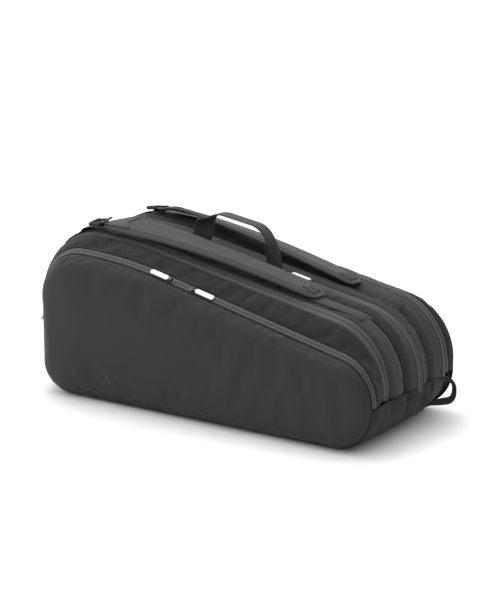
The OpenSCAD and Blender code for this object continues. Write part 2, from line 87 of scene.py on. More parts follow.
def station(y, tall, low, top, fall, knee, r_tall, r_low):
    """A side outline of the bag at depth y: how far its two ends and its top lie from the
    bag's, its fall, its knee's place and the radii of its upper corners."""
    return np.array([y, TALL + tall, LOW + low, TOP + top, fall, knee, r_tall, r_low], float)


SEAM_F = station(-161, 41, 0, -40.5, 0.235, PANEL_KNEE_X, 92, 75)
POCKET = station(-145, 32, 1, -32, 0.235, PANEL_KNEE_X, 96, 84)
ZIP_FA = station(-110, 10, -8, -11, 0.203, KNEE_X, 118, 122)
ZIP_FB = station(-88, 10, -9, -3.5, 0.2, KNEE_X, 118, 120)
RIDGE_F = station(-64, 0, -4, 0, FALL, KNEE_X, 125, 130)
VALLEY_F = station(DIV_F[0] - 0.3, 14, -14, -12, FALL, KNEE_X, 118, 125)
VALLEY_MA = station(DIV_F[1] + 0.3, 14, -14, -12, FALL, KNEE_X, 118, 125)
RIDGE_MA = station(-11, 0, -4, 0, FALL, KNEE_X, 125, 130)
ZIP_MA = station(2, 6, -3, -5, FALL, KNEE_X, 120, 126)
ZIP_MB = station(18, 6, -3, -5, FALL, KNEE_X, 120, 126)
RIDGE_MB = station(33, 0, -6, 0, FALL, KNEE_X, 125, 130)
VALLEY_MB = station(DIV_R[0] - 0.3, 14, -17, -13, FALL, KNEE_X, 118, 125)
VALLEY_R = station(DIV_R[1] + 0.3, 14, -17, -13, FALL, KNEE_X, 118, 125)
RIDGE_R = station(82, 0, -10, 0, FALL, KNEE_X, 125, 130)
ZIP_RA = station(100, 8, -10, 1, FALL, KNEE_X, 120, 126)
ZIP_RB = station(120, 8, -9, 0, FALL, KNEE_X, 120, 126)
BULGE_R = station(136, 16, -8, -4, 0.202, KNEE_X, 110, 110)
SEAM_R = station(149, 32, -14, -18, 0.208, KNEE_X, 100, 95)


# ---- Outlines -------------------------------------------------------------------
def unit(v):
    return v / np.linalg.norm(v)


def fillet(a, b, c, r, n=24):
    """Arc of radius r that rounds the corner b between a and c."""
    a, b, c = (np.array(p, float) for p in (a, b, c))
    u, v = unit(a - b), unit(c - b)
    half = acos(float(u @ v)) / 2
    m = b + unit(u + v) * r / sin(half)
    s, e = b + u * r / tan(half) - m, b + v * r / tan(half) - m
    a0 = atan2(s[1], s[0])
    da = (atan2(e[1], e[0]) - a0 + pi) % (2 * pi) - pi
    return [m + r * np.array([cos(a0 + da * i / n), sin(a0 + da * i / n)]) for i in range(n + 1)]


def corners(s, t):
    """Low, knee and tall corners of a station's outline, moved in by t."""
    def top(x):
        return s[3] - s[4] * x - t * sqrt(1 + s[4] ** 2)
    low = (s[2] - t, top(s[2] - t))
    knee = (s[5], top(s[5]))
    return low, knee, (s[1] + t, knee[1] + END_SLOPE * (s[5] - s[1]))


def arrays(points):
    return [np.array(p, float) for p in points]


def distances(points):
    """How far along a polyline each of its points lies."""
    return np.r_[0, np.cumsum(np.linalg.norm(np.diff(points, axis=0), axis=1))]


def sample(at, d, values):
    """Values at one or more distances along a polyline whose points lie at distances d."""
    return np.array([np.interp(at, d, column) for column in values.T]).T


def spread(points, n, closed=False):
    """n points at even distances along a polyline."""
    p = np.array(points + points[:1] if closed else points, float)
    d = distances(p)
    return sample(np.linspace(0, d[-1], n, endpoint=not closed), d, p)


def open_outline(s, t, z, n):
    """From the tall end over the top to the low end, cut at height z."""
    low, knee, tall = corners(s, t)
    a, b = (s[1] + t, z), (s[2] - t, z)
    return spread([a] + fillet(a, tall, knee, s[6] - t) + fillet(tall, knee, low, KNEE_R, 8)
                  + fillet(knee, low, b, s[7] - t) + [b], n)


def closed_outline(s, t, n, z=None):
    """Whole side outline, from the tall end's foot round by the base."""
    z = PANEL_Z if z is None else z
    low, knee, tall = corners(s, t)
    bl, br = np.array([s[1] + t, z + t]), np.array([s[2] - t, z + t])
    return spread(fillet(bl + [0, 100], bl, bl + [100, 0], TALL_R - t)
                  + fillet(br - [100, 0], br, br + [0, 60], LOW_R - t)
                  + fillet(br, low, knee, s[7] - t) + fillet(low, knee, tall, KNEE_R, 8)
                  + fillet(knee, tall, bl, s[6] - t), n, closed=True)


# ---- Mesh helpers -----------------------------------------------------------------
def link_object(name, mesh, *materials):
    for m in materials:
        mesh.materials.append(m)
    obj = bpy.data.objects.new(name, mesh)
    scene.collection.objects.link(obj)
    return obj


def shade_smooth(mesh):
    mesh.polygons.foreach_set("use_smooth", [True] * len(mesh.polygons))


def new_object(name, verts, faces, *materials):
    """A smooth-shaded mesh object; verts are in millimetres."""
    mesh = bpy.data.meshes.new(name)
    mesh.from_pydata([tuple(float(c) * MM for c in v) for v in verts], [], faces)
    mesh.validate()
    shade_smooth(mesh)
    return link_object(name, mesh, *materials)


def object_of(bm, name, material):
    """An object from a bmesh in metres, its faces turned outwards."""
    bmesh.ops.recalc_face_normals(bm, faces=bm.faces)
    mesh = bpy.data.meshes.new(name)
    bm.to_mesh(mesh)
    bm.free()
    return link_object(name, mesh, material)


def turn_outwards(obj):
    """Turns the faces of a closed mesh outwards."""
    bm = bmesh.new()
    bm.from_mesh(obj.data)
    bmesh.ops.recalc_face_normals(bm, faces=bm.faces)
    bm.to_mesh(obj.data)
    bm.free()
    return obj


def grid_faces(rows, cols, wrap=False, flip=False):
    """Quads of a grid of rows by cols points; wrap joins the last column to the first."""
    faces = []
    for j in range(rows - 1):
        for i in range(cols if wrap else cols - 1):
            e = (i + 1) % cols
            f = (j * cols + i, j * cols + e, (j + 1) * cols + e, (j + 1) * cols + i)
            faces.append(f[::-1] if flip else f)
    return faces


def modify(obj, kind, **settings):
    """Adds a modifier and applies it."""
    m = obj.modifiers.new(kind.lower(), kind)
    for key, value in settings.items():
        setattr(m, key, value)
    bpy.context.view_layer.update()
    depsgraph = bpy.context.evaluated_depsgraph_get()
    mesh = bpy.data.meshes.new_from_object(obj.evaluated_get(depsgraph))
    old = obj.data
    obj.modifiers.clear()
    obj.data = mesh
    bpy.data.meshes.remove(old)
    return obj


def round_edges(obj, width, segments, angle):
    """Rounds the sharp edges of a moulded piece."""
    modify(obj, "BEVEL", width=width * MM, segments=segments, limit_method="ANGLE",
           angle_limit=radians(angle))
    shade_smooth(obj.data)
    return modify(obj, "WEIGHTED_NORMAL")


def thicken(obj, thickness, inner_slot=0, centred=False):
    """Gives a sheet its thickness, to its inner side; the inner face takes another slot."""
    return modify(obj, "SOLIDIFY", thickness=thickness * MM, offset=0 if centred else -1,
                  material_offset=inner_slot, material_offset_rim=0, use_even_offset=False)


def points_of(obj):
    co = np.empty(len(obj.data.vertices) * 3)
    obj.data.vertices.foreach_get("co", co)
    return co.reshape(-1, 3) / MM


def put_points(obj, points):
    obj.data.vertices.foreach_set("co", (np.asarray(points) * MM).ravel())
    obj.data.update()


def normals_of(obj):
    no = np.empty(len(obj.data.vertices) * 3)
    obj.data.vertex_normals.foreach_get("vector", no)
    return no.reshape(-1, 3)


def wave(p, scale, seed=0):
    """Smooth noise from -1 to 1 at p, in millimetres, with features of about scale."""
    return noise.noise(Vector(p) / scale + Vector((seed * 7.3, seed * 3.1, seed * 5.7)))


def crease(p, scale, seed=0):
    """Noise with sharp valleys, from 0 in the valley to 1, like folds in cloth."""
    return abs(wave(p, scale, seed))


def push(obj, amount):
    """Moves each point along its normal by amount(point), in millimetres."""
    p, n = points_of(obj), normals_of(obj)
    put_points(obj, p + n * np.array([[amount(q)] for q in p]))


def billow(obj, pinned, pressure, grow, cap, frames=16, bend=0.5):
    """Cloth simulation of a sheet held at its pinned points, under air pressure; no point
    moves more than cap millimetres."""
    group = obj.vertex_groups.new(name="pinned")
    group.add([int(i) for i in pinned], 1.0, "ADD")
    cloth = obj.modifiers.new("cloth", "CLOTH")
    s = cloth.settings
    s.quality = 6
    s.mass = 0.3
    s.tension_stiffness = s.compression_stiffness = 25
    s.shear_stiffness = 12
    s.bending_stiffness = bend
    s.use_pressure = True
    s.uniform_pressure_force = pressure
    s.shrink_min = -grow
    s.vertex_group_mass = "pinned"
    s.effector_weights.gravity = 0
    cloth.point_cache.frame_start = 1
    cloth.point_cache.frame_end = frames
    before = points_of(obj)
    for f in range(1, frames + 1):
        scene.frame_set(f)
    ready = obj.evaluated_get(bpy.context.evaluated_depsgraph_get())
    move = points_of(ready) - before
    size = np.linalg.norm(move, axis=1, keepdims=True)
    obj.modifiers.clear()
    obj.vertex_groups.clear()
    put_points(obj, before + move * np.minimum(1, cap / np.maximum(size, 1e-6)))
    scene.frame_set(1)


def finish_piece(obj, body, slot, *nodes, blend=None):
    """Rides the piece on its body, or, given a blend, only bakes its transform into its mesh; hides the
    given CAD nodes.
    """
    if blend:
        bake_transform(obj)
    else:
        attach(obj, body)
    if nodes:
        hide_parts(*nodes)


# ---- Materials --------------------------------------------------------------------
FACTOR_SPAN = (0.3, 0.7)    # noise between these spans a colour's or a roughness's two ends


class Shader:
    """A procedural material built node by node."""

    def __init__(self, name, roughness=0.8, **constants):
        self.material = bpy.data.materials.new(name)
        self.material.use_nodes = True
        self.tree = self.material.node_tree
        self.surface = self.tree.nodes["Principled BSDF"]
        self.surface.inputs["Roughness"].default_value = roughness
        for key, value in constants.items():
            self.surface.inputs[key.replace("_", " ")].default_value = value
        self.place = self.node("ShaderNodeTexCoord").outputs["Object"]
        self.height = None

    def node(self, kind, **settings):
        n = self.tree.nodes.new(kind)
        for key, value in settings.items():
            setattr(n, key, value)
        return n

    def link(self, value, socket):
        if hasattr(value, "links"):
            self.tree.links.new(value, socket)
        else:
            socket.default_value = value

    def math(self, kind, a, b=0.0):
        n = self.node("ShaderNodeMath", operation=kind)
        self.link(a, n.inputs[0])
        self.link(b, n.inputs[1])
        return n.outputs[0]

    def noise(self, size, detail=3.0):
        """Noise from about 0 to 1 with features of about size metres."""
        n = self.node("ShaderNodeTexNoise")
        self.link(self.place, n.inputs["Vector"])
        n.inputs["Scale"].default_value = 1 / size
        n.inputs["Detail"].default_value = detail
        return n.outputs["Fac"]

    def weave(self, pitch):
        """Crossing threads, pitch metres apart, on any side of a piece."""
        xyz = self.node("ShaderNodeSeparateXYZ")
        self.link(self.place, xyz.inputs[0])
        k = 2 * pi / pitch
        s = [self.math("SINE", self.math("MULTIPLY", xyz.outputs[i], k)) for i in range(3)]
        pairs = [self.math("MULTIPLY", s[i], s[(i + 1) % 3]) for i in range(3)]
        return self.math("ADD", self.math("ADD", pairs[0], pairs[1]), pairs[2])

    def ribs(self, pitch, axis):
        """Parallel ribs, pitch metres apart along a direction."""
        dot = self.node("ShaderNodeVectorMath", operation="DOT_PRODUCT")
        self.link(self.place, dot.inputs[0])
        dot.inputs[1].default_value = axis
        return self.math("SINE", self.math("MULTIPLY", dot.outputs["Value"], 2 * pi / pitch))

    def bump(self, value, depth):
        """Adds a height pattern, depth metres for each unit of value."""
        part = self.math("MULTIPLY", value, depth)
        self.height = part if self.height is None else self.math("ADD", self.height, part)

    def colour(self, low, high, *factors):
        """Base colour between two greys, by the mean of the factors."""
        total = factors[0]
        for f in factors[1:]:
            total = self.math("ADD", total, f)
        ramp = self.node("ShaderNodeValToRGB")
        for stop, place, tone in zip(ramp.color_ramp.elements, FACTOR_SPAN, (low, high)):
            stop.position = place
            stop.color = (*tone, 1)
        self.link(self.math("MULTIPLY", total, 1 / len(factors)), ramp.inputs[0])
        self.link(ramp.outputs[0], self.surface.inputs["Base Color"])

    def rough(self, low, high, factor):
        """Roughness between two values, by a factor."""
        span = self.node("ShaderNodeMapRange")
        self.link(factor, span.inputs["Value"])
        for key, value in zip(("From Min", "From Max", "To Min", "To Max"), (*FACTOR_SPAN, low, high)):
            span.inputs[key].default_value = value
        self.link(span.outputs[0], self.surface.inputs["Roughness"])

    def done(self):
        if self.height is not None:
            bump = self.node("ShaderNodeBump")
            bump.inputs["Strength"].default_value = bump.inputs["Distance"].default_value = 1.0
            self.link(self.height, bump.inputs["Height"])
            self.link(bump.outputs[0], self.surface.inputs["Normal"])
        return self.material


def grey(v, blue=1.03):
    return (v, v, v * blue)


def woven(name, shade, sheen, pitch=0.0011, depth=0.00007, roughness=(0.72, 0.86),
          mottle=0.25, specular=0.35):
    """Woven synthetic cloth: threads, slight colour variation, a soft sheen and fine creases."""
    m = Shader(name, Sheen_Weight=sheen, Sheen_Roughness=0.45, Specular_IOR_Level=specular)
    threads = m.weave(pitch)
    broad = m.noise(0.06)
    fine = m.noise(0.0035, 2.0)
    m.colour(grey(shade * (1 - mottle)), grey(shade * (1 + mottle)), broad, fine,
             m.math("ADD", m.math("MULTIPLY", threads, 0.15), 0.5))
    m.rough(*roughness, broad)
    m.bump(threads, depth)
    m.bump(fine, 0.00012)
    m.bump(m.noise(0.018), 0.0003)
    return m.done()


def ribbed(name, shade, pitch, axis, depth, sheen, roughness=(0.5, 0.65), specular=0.5):
    """Webbing or zip tape: ribs across its length and a satin surface."""
    m = Shader(name, Sheen_Weight=sheen, Sheen_Roughness=0.35, Specular_IOR_Level=specular)
    ribs = m.ribs(pitch, axis)
    wear = m.noise(0.03, 4.0)
    m.colour(grey(shade * 0.8), grey(shade * 1.25), wear,
             m.math("ADD", m.math("MULTIPLY", ribs, 0.25), 0.5))
    m.rough(*roughness, wear)
    m.bump(ribs, depth)
    m.bump(m.weave(0.0008), 0.00003)
    return m.done()


def moulded(name, colour, roughness, grain, wear, specular=0.5, metallic=0.0):
    """Moulded plastic, rubber or cast metal, with a fine grain and slight wear."""
    m = Shader(name, Specular_IOR_Level=specular, Metallic=metallic)
    spots = m.noise(0.004, 4.0)
    broad = m.noise(0.02)
    low = tuple(c * (1 - wear) for c in colour)
    m.colour(low, colour, broad, spots)
    m.rough(roughness * 0.85, min(1, roughness * 1.2), spots)
    m.bump(m.noise(0.0006, 2.0), grain)
    return m.done()


PANEL = woven("panel_cloth", 0.020, pitch=0.0009, depth=0.00004, sheen=0.05, mottle=0.1,
              roughness=(0.6, 0.7), specular=0.25)
GUSSET = woven("gusset_cloth", 0.014, sheen=0.05, mottle=0.2, specular=0.2)
# The shoulder cloth's grey, lighter than the panel cloth's, is partly painted light: it adds the extra
# brightness of the light falling on the bag's tops.
SHOULDER = woven("shoulder_cloth", 0.028, sheen=0.08, mottle=0.18, specular=0.25)
STRAP = woven("strap_cloth", 0.034, pitch=0.0016, depth=0.00012, sheen=0.12, mottle=0.2)
BINDING = ribbed("binding_tape", 0.026, 0.0012, (0.7, 0.7, 0.1), 0.00006, sheen=0.1, specular=0.3)
LINING = woven("lining_cloth", 0.05, pitch=0.0014, sheen=0.2, roughness=(0.85, 0.95))
FOAM = woven("foam_backing", 0.04, pitch=0.003, depth=0.0003, sheen=0.05, roughness=(0.9, 1.0))
TAPE = ribbed("zip_tape", 0.036, 0.0013, (0.97, 0, -0.2), 0.00006, sheen=0.15, specular=0.35)
COIL = moulded("zip_coil", grey(0.006), 0.4, 0.00002, wear=0.3, specular=0.3)
PIPING = ribbed("piping_cord", 0.006, 0.0016, (0.8, 0.1, 0.6), 0.00008, sheen=0.04,
                roughness=(0.6, 0.75), specular=0.2)
WEBBING = ribbed("webbing", 0.014, 0.0022, (0.9, 0.25, -0.35), 0.00012, sheen=0.08, specular=0.35)
THREAD = ribbed("sewing_thread", 0.012, 0.0007, (0.8, 0.4, 0.4), 0.00003, sheen=0.05)
BUCKLE = moulded("buckle_plastic", grey(0.005), 0.28, 0.00003, wear=0.25, specular=0.3)
METAL = moulded("slider_metal", grey(0.03), 0.3, 0.00002, metallic=0.6, wear=0.5)
RUBBER = moulded("white_rubber", (0.8, 0.8, 0.79), 0.45, 0.00004, wear=0.06)
BOARD = moulded("base_board", grey(0.02), 0.7, 0.0001, wear=0.3)


# ---- Blend points at the zips' ends --------------------------------------------------
# Each names the shell that an opening wall would turn to from its zip's lower end, towards the panel and
# upwards; finish_piece only bakes the transform of a piece given one.
def crossing(y0, y1, z0, rise):
    """Start and end of a blend that is complete at y1 on the skirt's edge, or rise
    millimetres above it at y0."""
    a, b = 1 / (y1 - y0), 1 / rise
    q = a * a + b * b
    return (0, y0, z0), (0, y0 + a / q, z0 + b / q)


TO_FRONT = ("front_shell", *crossing((ZIP_FA[0] + ZIP_FB[0]) / 2, POCKET[0], SKIRT_Z + 2, 120))
TO_REAR = ("rear_shell", *crossing((ZIP_RA[0] + ZIP_RB[0]) / 2, SEAM_R[0], SKIRT_Z + 2, 120))
TO_LID = ("pocket_lid", (0, SEAM_F[0], SKIRT_Z - 8), (0, SEAM_F[0], SKIRT_Z + 90))

# ---- Walls -------------------------------------------------------------------------
PATH_N = 180                # points along a wall's arch
TUCK = SKIRT_Z - 9          # the walls' lower ends lie inside the skirt
LOBE_N = 7                  # stations on each side of a lobe's ridge
ZIP_FLANK = 0.75            # how steep a lobe gets at a zip, and in a valley
MID_FLANK = 0.8
VALLEY_FLANK = 0.985


def eased(u, k):
    """0 at the ridge to 1 at the edge; the surface falls like a circle, steeper for k near 1."""
    return (1 - sqrt(max(0.0, 1 - (k * u) ** 2))) / (1 - sqrt(1 - k * k))


def flank(ridge, side, k):
    """Stations from the ridge to an edge, not counting the ridge."""
    out = []
    for i in range(1, LOBE_N + 1):
        u = sin(atan2(k, sqrt(1 - k * k)) * i / LOBE_N) / k
        s = ridge + (side - ridge) * eased(u, k)
        s[0] = ridge[0] + (side[0] - ridge[0]) * u
        out.append(s)
    return out


def lobe(a, ridge, b, ka, kb):
    """Stations of an arched lobe from its edge a over the ridge to its edge b."""
    return flank(ridge, a, ka)[::-1] + [ridge] + flank(ridge, b, kb)


LOBES = {"shoulder_front": lobe(ZIP_FB, RIDGE_F, VALLEY_F, ZIP_FLANK, VALLEY_FLANK),
         "gusset_centre_front": lobe(VALLEY_MA, RIDGE_MA, ZIP_MA, VALLEY_FLANK, MID_FLANK),
         "gusset_centre_rear": lobe(ZIP_MB, RIDGE_MB, VALLEY_MB, MID_FLANK, VALLEY_FLANK),
         "shoulder_rear": lobe(VALLEY_R, RIDGE_R, ZIP_RA, VALLEY_FLANK, ZIP_FLANK)}


def between(a, b, n):
    return [a + (b - a) * i / n for i in range(n + 1)]


def at_y(a, b, y):
    return a + (b - a) * (y - a[0]) / (b[0] - a[0])


def arch_points(stations, z, n=PATH_N):
    """Grid of points, one row for each station, in order of depth."""
    return np.array([[(p[0], s[0], p[1]) for p in open_outline(s, 0, z, n)] for s in stations])


def sheet_of(name, rows, *materials, flip=False):
    r, c = rows.shape[:2]
    return new_object(name, rows.reshape(-1, 3), grid_faces(r, c, flip=flip), *materials)


def smooth(x, a, b):
    """Eased step from 0 at a to 1 at b."""
    t = min(1.0, max(0.0, (x - a) / (b - a)))
    return t * t * (3 - 2 * t)


# ---- Sewing --------------------------------------------------------------------------
def stitch_mesh(name, lines, length=2.6, step=3.9, wide=0.45, high=0.28):
    """Rows of stitches along lines of (points, normals), as one mesh."""
    verts, faces = [], []
    for pts, nrm in lines:
        pts, nrm = np.asarray(pts, float), np.asarray(nrm, float)
        d = distances(pts)
        for s in np.arange(step / 2, d[-1] - step / 2, step):
            p, n = sample(s, d, pts), unit(sample(s, d, nrm))
            t = unit(sample(s + 0.5, d, pts) - p)
            b = np.cross(n, t)
            k = len(verts)
            h = length / 2
            verts += [p - t * h, p + t * h, p - b * wide - t * h * 0.4, p + b * wide - t * h * 0.4,
                      p - b * wide + t * h * 0.4, p + b * wide + t * h * 0.4,
                      p + n * high - t * h * 0.5, p + n * high + t * h * 0.5]
            faces += [(k, k + 6, k + 3), (k, k + 2, k + 6), (k + 3, k + 6, k + 7, k + 5),
                      (k + 2, k + 4, k + 7, k + 6), (k + 5, k + 7, k + 1), (k + 4, k + 1, k + 7),
                      (k, k + 3, k + 5, k + 1, k + 4, k + 2)]
    return new_object(name, verts, faces, THREAD)


def row_lines(obj, cols, rows):
    """Lines along grid rows of a sheet; a fractional row lies between two rows."""
    p, n = points_of(obj).reshape(-1, cols, 3), normals_of(obj).reshape(-1, cols, 3)
    out = []
    for r in rows:
        a, f = int(r), r - int(r)
        b = min(a + 1, len(p) - 1)
        line, face = p[a] + (p[b] - p[a]) * f, n[a] + (n[b] - n[a]) * f
        out.append((line + face * 0.15, face))
    return out


def gathers(obj, cols, seams, amount, length, seed, reach=4):
    """Puckers near the given rows of a sheet, along its normals, gone reach rows away."""
    p, n = points_of(obj).reshape(-1, cols, 3), normals_of(obj).reshape(-1, cols, 3)
    for j in range(len(p)):
        near = min(abs(j - s) for s in seams)
        fade = max(0.0, 1 - near / reach) if near > 0 else 0.0
        if fade > 0:
            for i in range(cols):
                h = wave((p[j, i, 0] / length, 0, p[j, i, 2] / length), 1.0, seed)
                p[j, i] += n[j, i] * amount * fade * (h - 0.3)
    put_points(obj, p.reshape(-1, 3))


def wall(name, stations, z, material, pin_rows, grow, cap, seed, fold):
    """A foam-laminated wall between its seams, with its lining inside."""
    rows = arch_points(stations, z)
    cols = PATH_N
    obj = sheet_of(name, rows, material, LINING)
    k = len(stations)
    pins = {j * cols + i for j in pin_rows for i in range(cols)}
    pins |= {j * cols + i for j in range(k) for i in (0, 1, cols - 2, cols - 1)}
    billow(obj, pins, pressure=2.0, grow=grow, cap=cap)
    inner = [j for j in range(k) if j not in pin_rows]
    p, n = points_of(obj).reshape(k, cols, 3), normals_of(obj).reshape(k, cols, 3)
    for j in inner:
        for i in range(cols):
            q = p[j, i]
            p[j, i] += n[j, i] * fold * (wave((q[0], q[1] * 0.6, q[2]), 55, seed)
                                         + 0.5 * wave(q, 21, seed + 3))
    put_points(obj, p.reshape(-1, 3))
    gathers(obj, cols, (0, k - 1), 0.7, 7.0, seed + 5)
    return obj


def sew_wall(obj, stitch_rows, name, slot, node, blend=None):
    """Adds the stitches of a wall's seams, gives it thickness and rides both."""
    seam = stitch_mesh(name + "_stitches", row_lines(obj, PATH_N, stitch_rows))
    thicken(obj, WALL - 0.6, inner_slot=1)
    finish_piece(obj, "bag", slot, node, blend=blend)
    finish_piece(seam, "bag", slot, blend=blend)


def make_walls():
    at_start, at_end = [0.8, 1.6], [13.2, 12.4]      # rows of stitches beside a wall's zip
    for name, node, stitch_rows, seed in (
            ("shoulder_front", "front_shoulder", at_start, 1),
            ("gusset_centre_front", "centre_front_gusset", at_end, 2),
            ("gusset_centre_rear", "centre_rear_gusset", at_start, 3),
            ("shoulder_rear", "rear_shoulder", at_end, 4)):
        obj = wall(name, LOBES[name], TUCK, SHOULDER, (0, LOBE_N, 2 * LOBE_N), 0.015, 1.6, seed, 0.5)
        sew_wall(obj, stitch_rows, name, "shoulder_fabric", node)
    front = wall("gusset_front", between(POCKET, ZIP_FA, 9), SKIRT_Z + 1, GUSSET, (0, 9),
                 0.03, 3.0, 11, 0.9)
    sew_wall(front, [0.35, 8.65], "gusset_front", "gusset_fabric", "front_gusset", TO_FRONT)
    stations = [ZIP_RB, ZIP_RB + (BULGE_R - ZIP_RB) * 0.5, BULGE_R,
                at_y(BULGE_R, SEAM_R, SEAM_R[0] - 8), at_y(BULGE_R, SEAM_R, SEAM_R[0] - 3)]
    dense = [stations[i] + (stations[i + 1] - stations[i]) * f for i in range(4) for f in (0, 0.5)]
    rear = wall("gusset_rear", dense + [stations[4]], SKIRT_Z + 1, GUSSET, (0, 8), 0.015, 2.0, 12, 0.6)
    sew_wall(rear, [0.5, 7.5], "gusset_rear", "gusset_fabric", "rear_gusset", TO_REAR)


# ---- Zips ----------------------------------------------------------------------------
def tape(key, half, a, b, body, z, blend=None, crown=0.9):
    """Half of a zip: the woven tape with its sewn edge, and its half of the coil."""
    name = key + "_zip_tape_" + half
    coil_at_b = half == "front"
    n = 8
    cols = PATH_N * 2
    rows = arch_points(between(a, b, n), z, cols)
    obj = sheet_of(name, rows, TAPE)
    normal = normals_of(obj).reshape(n + 1, cols, 3)
    p = rows.copy()
    for j in range(n + 1):
        f = j / n if coil_at_b else 1 - j / n      # 0 at the sewn edge, 1 at the coil
        rise = crown * (sin(pi * min(1, f * 1.1)) ** 0.7 if f < 0.9 else 0.1) - 0.35
        p[j] += normal[j] * rise
    put_points(obj, p.reshape(-1, 3))
    sewn = stitch_mesh(name + "_stitches", row_lines(obj, cols, [1.2 if coil_at_b else n - 1.2]),
                       length=2.2, step=3.2)
    last, side = (-1, 1) if coil_at_b else (0, -1)
    bead = coil_half(key + "_zip_coil_" + half, rows[last], normal[last], side)
    thicken(obj, 1.3)
    finish_piece(obj, body, "zip_tape", "%s_zip_%s_tape" % (key, half), blend=blend)
    finish_piece(sewn, body, "zip_tape", blend=blend)
    finish_piece(bead, body, "slider_metal", blend=blend)


def coil_half(name, line, normals, side, pitch=2.4):
    """One side's half of the coil: a row of small loops along the tape's edge."""
    d = distances(line)
    verts = []
    ring = 6
    at = np.arange(0, d[-1], pitch / 4)
    for i, s in enumerate(at):
        p, n = sample(s, d, line), unit(sample(s, d, normals))
        b = np.cross(n, unit(sample(s + 1, d, line) - p)) * side
        r = 0.62 - 0.3 * (i % 4 == 0) - 0.12 * (i % 4 == 2)
        m = p + b * 0.45 - n * 0.75
        verts += [m + b * r * cos(2 * pi * k / ring) + n * r * sin(2 * pi * k / ring)
                  for k in range(ring)]
    count = len(at)
    faces = grid_faces(count, ring, wrap=True)
    faces += [tuple(range(ring)), tuple(range((count - 1) * ring, count * ring))[::-1]]
    return new_object(name, verts, faces, COIL)


def zip_edge(a, b, side):
    """Station of a tape's edge beside the coil."""
    return at_y(a, b, (a[0] + b[0] + side * COIL_GAP) / 2)


def make_zips():
    z = SKIRT_Z + 1
    tape("pocket", "front", at_y(SEAM_F, POCKET, SEAM_F[0] + 2.6), zip_edge(SEAM_F, POCKET, -1),
         "front_shell", z, TO_LID)
    tape("pocket", "rear", zip_edge(SEAM_F, POCKET, 1), POCKET, "front_shell", z)
    tape("front", "front", ZIP_FA, zip_edge(ZIP_FA, ZIP_FB, -1), "bag", z, TO_FRONT, crown=1.6)
    tape("front", "rear", zip_edge(ZIP_FA, ZIP_FB, 1), ZIP_FB, "bag", TUCK, crown=1.6)
    tape("centre", "front", ZIP_MA, zip_edge(ZIP_MA, ZIP_MB, -1), "bag", TUCK)
    tape("centre", "rear", zip_edge(ZIP_MA, ZIP_MB, 1), ZIP_MB, "bag", TUCK)
    tape("rear", "front", ZIP_RA, zip_edge(ZIP_RA, ZIP_RB, -1), "bag", TUCK, crown=1.6)
    tape("rear", "rear", zip_edge(ZIP_RA, ZIP_RB, 1), ZIP_RB, "bag", z, TO_REAR, crown=1.6)


# ---- Front and back panels --------------------------------------------------------------
def inside(points, outline):
    """Which points lie inside a closed outline, and how far each is from it."""
    a, b = outline, np.roll(outline, -1, axis=0)
    ab = b - a
    t = np.clip(((points[:, None] - a) * ab).sum(2) / (ab ** 2).sum(1), 0, 1)
    d = np.linalg.norm(points[:, None] - (a + ab * t[..., None]), axis=2).min(1)
    x, y = points[:, 0:1], points[:, 1:2]
    cross = ((a[:, 1] > y) != (b[:, 1] > y)) & (
        x < (b[:, 0] - a[:, 0]) * (y - a[:, 1]) / (b[:, 1] - a[:, 1] + 1e-9) + a[:, 0])
    return cross.sum(1) % 2 == 1, d


def grid_in(rim, pitch, stagger=0.0, rise=1.0):
    """Grid points over an outline's box; every other row may be shifted."""
    low, high = rim.min(0), rim.max(0)
    return np.array([(low[0] + pitch * (i + stagger * (j % 2)), low[1] + pitch * rise * j)
                     for j in range(int((high[1] - low[1]) / pitch / rise) + 1)
                     for i in range(int((high[0] - low[0]) / pitch) + 1)])


def fill(rings, field, gap):
    """Triangles inside the closed outline rings[0], over the points of all rings and those
    of the field more than gap inside it; also how far each point is from the outline."""
    rim = rings[0]
    ok, far = inside(field, rim)
    pts = np.vstack(rings + [field[ok & (far > gap)]])
    loop = [(i, (i + 1) % len(rim)) for i in range(len(rim))]
    flat, _, faces, *_ = geometry.delaunay_2d_cdt([Vector(p) for p in pts], loop, [], 1, 1e-5)
    flat = np.array([tuple(v) for v in flat])
    return flat, inside(flat, rim)[1], faces


def swell(edge_roll, reach, power, belly):
    """How far a panel stands out at a distance d from its seam: a rolled edge and a belly."""
    return lambda d: edge_roll * (1 - max(0, 1 - d / reach) ** power) + belly * smooth(d, 10, 110)


def panel_sheet(name, s, start, depth, side, material, pitch=7.0, offset=0.0):
    """A panel's cloth: close rows of points along its seam, then an even field."""
    rings = [closed_outline(s, offset, 320)]
    rings += [closed_outline(s, offset + t, 320 - 6 * i)
              for i, t in enumerate((1.2, 3, 5.5, 8.5, 12.5, 17.5, 23.5))]
    flat, dist, faces = fill(rings, grid_in(rings[0], pitch, 0.5, 0.87), 28)
    verts = [(p[0], start + side * depth(d), p[1]) for d, p in zip(dist, flat)]
    faces = [f if side < 0 else f[::-1] for f in faces]
    return new_object(name, verts, faces, material, FOAM), dist


def seam_gathers(x, z, d, seed):
    """Small gathers beside a panel's seam."""
    near = max(0, 1 - abs(d - 9) / 13) if d > 1 else 0
    return 0.5 * near * wave((x / 9, 0, z / 9), 1.0, seed)


def front_relief(x, z, d):
    """Folds of the front panel: gathers, creases at its low corner and a sag under its top."""
    corner = smooth(x, 150, 330) * (1 - smooth(z, 20, 130))
    fan = 0.35 - crease((x * 0.6 + z * 0.5, 0, z * 0.35 - x * 0.12), 24, 5)
    sag = smooth(x, -40, 60) * (1 - smooth(x, 60, 190)) * smooth(z, 60, 150)
    return (seam_gathers(x, z, d, 3) + 2.6 * corner * fan * min(1, d / 10)
            + (1 - smooth(z, 20, 90)) * wave((x * 0.4, 0, z), 17, 6) * min(1, d / 12)
            + 1.1 * wave((x, 0, z), 130, 8) * min(1, d / 30)
            + 1.3 * sag * wave((x + 0.6 * z, 0, z * 0.3), 26, 9) * min(1, d / 14))


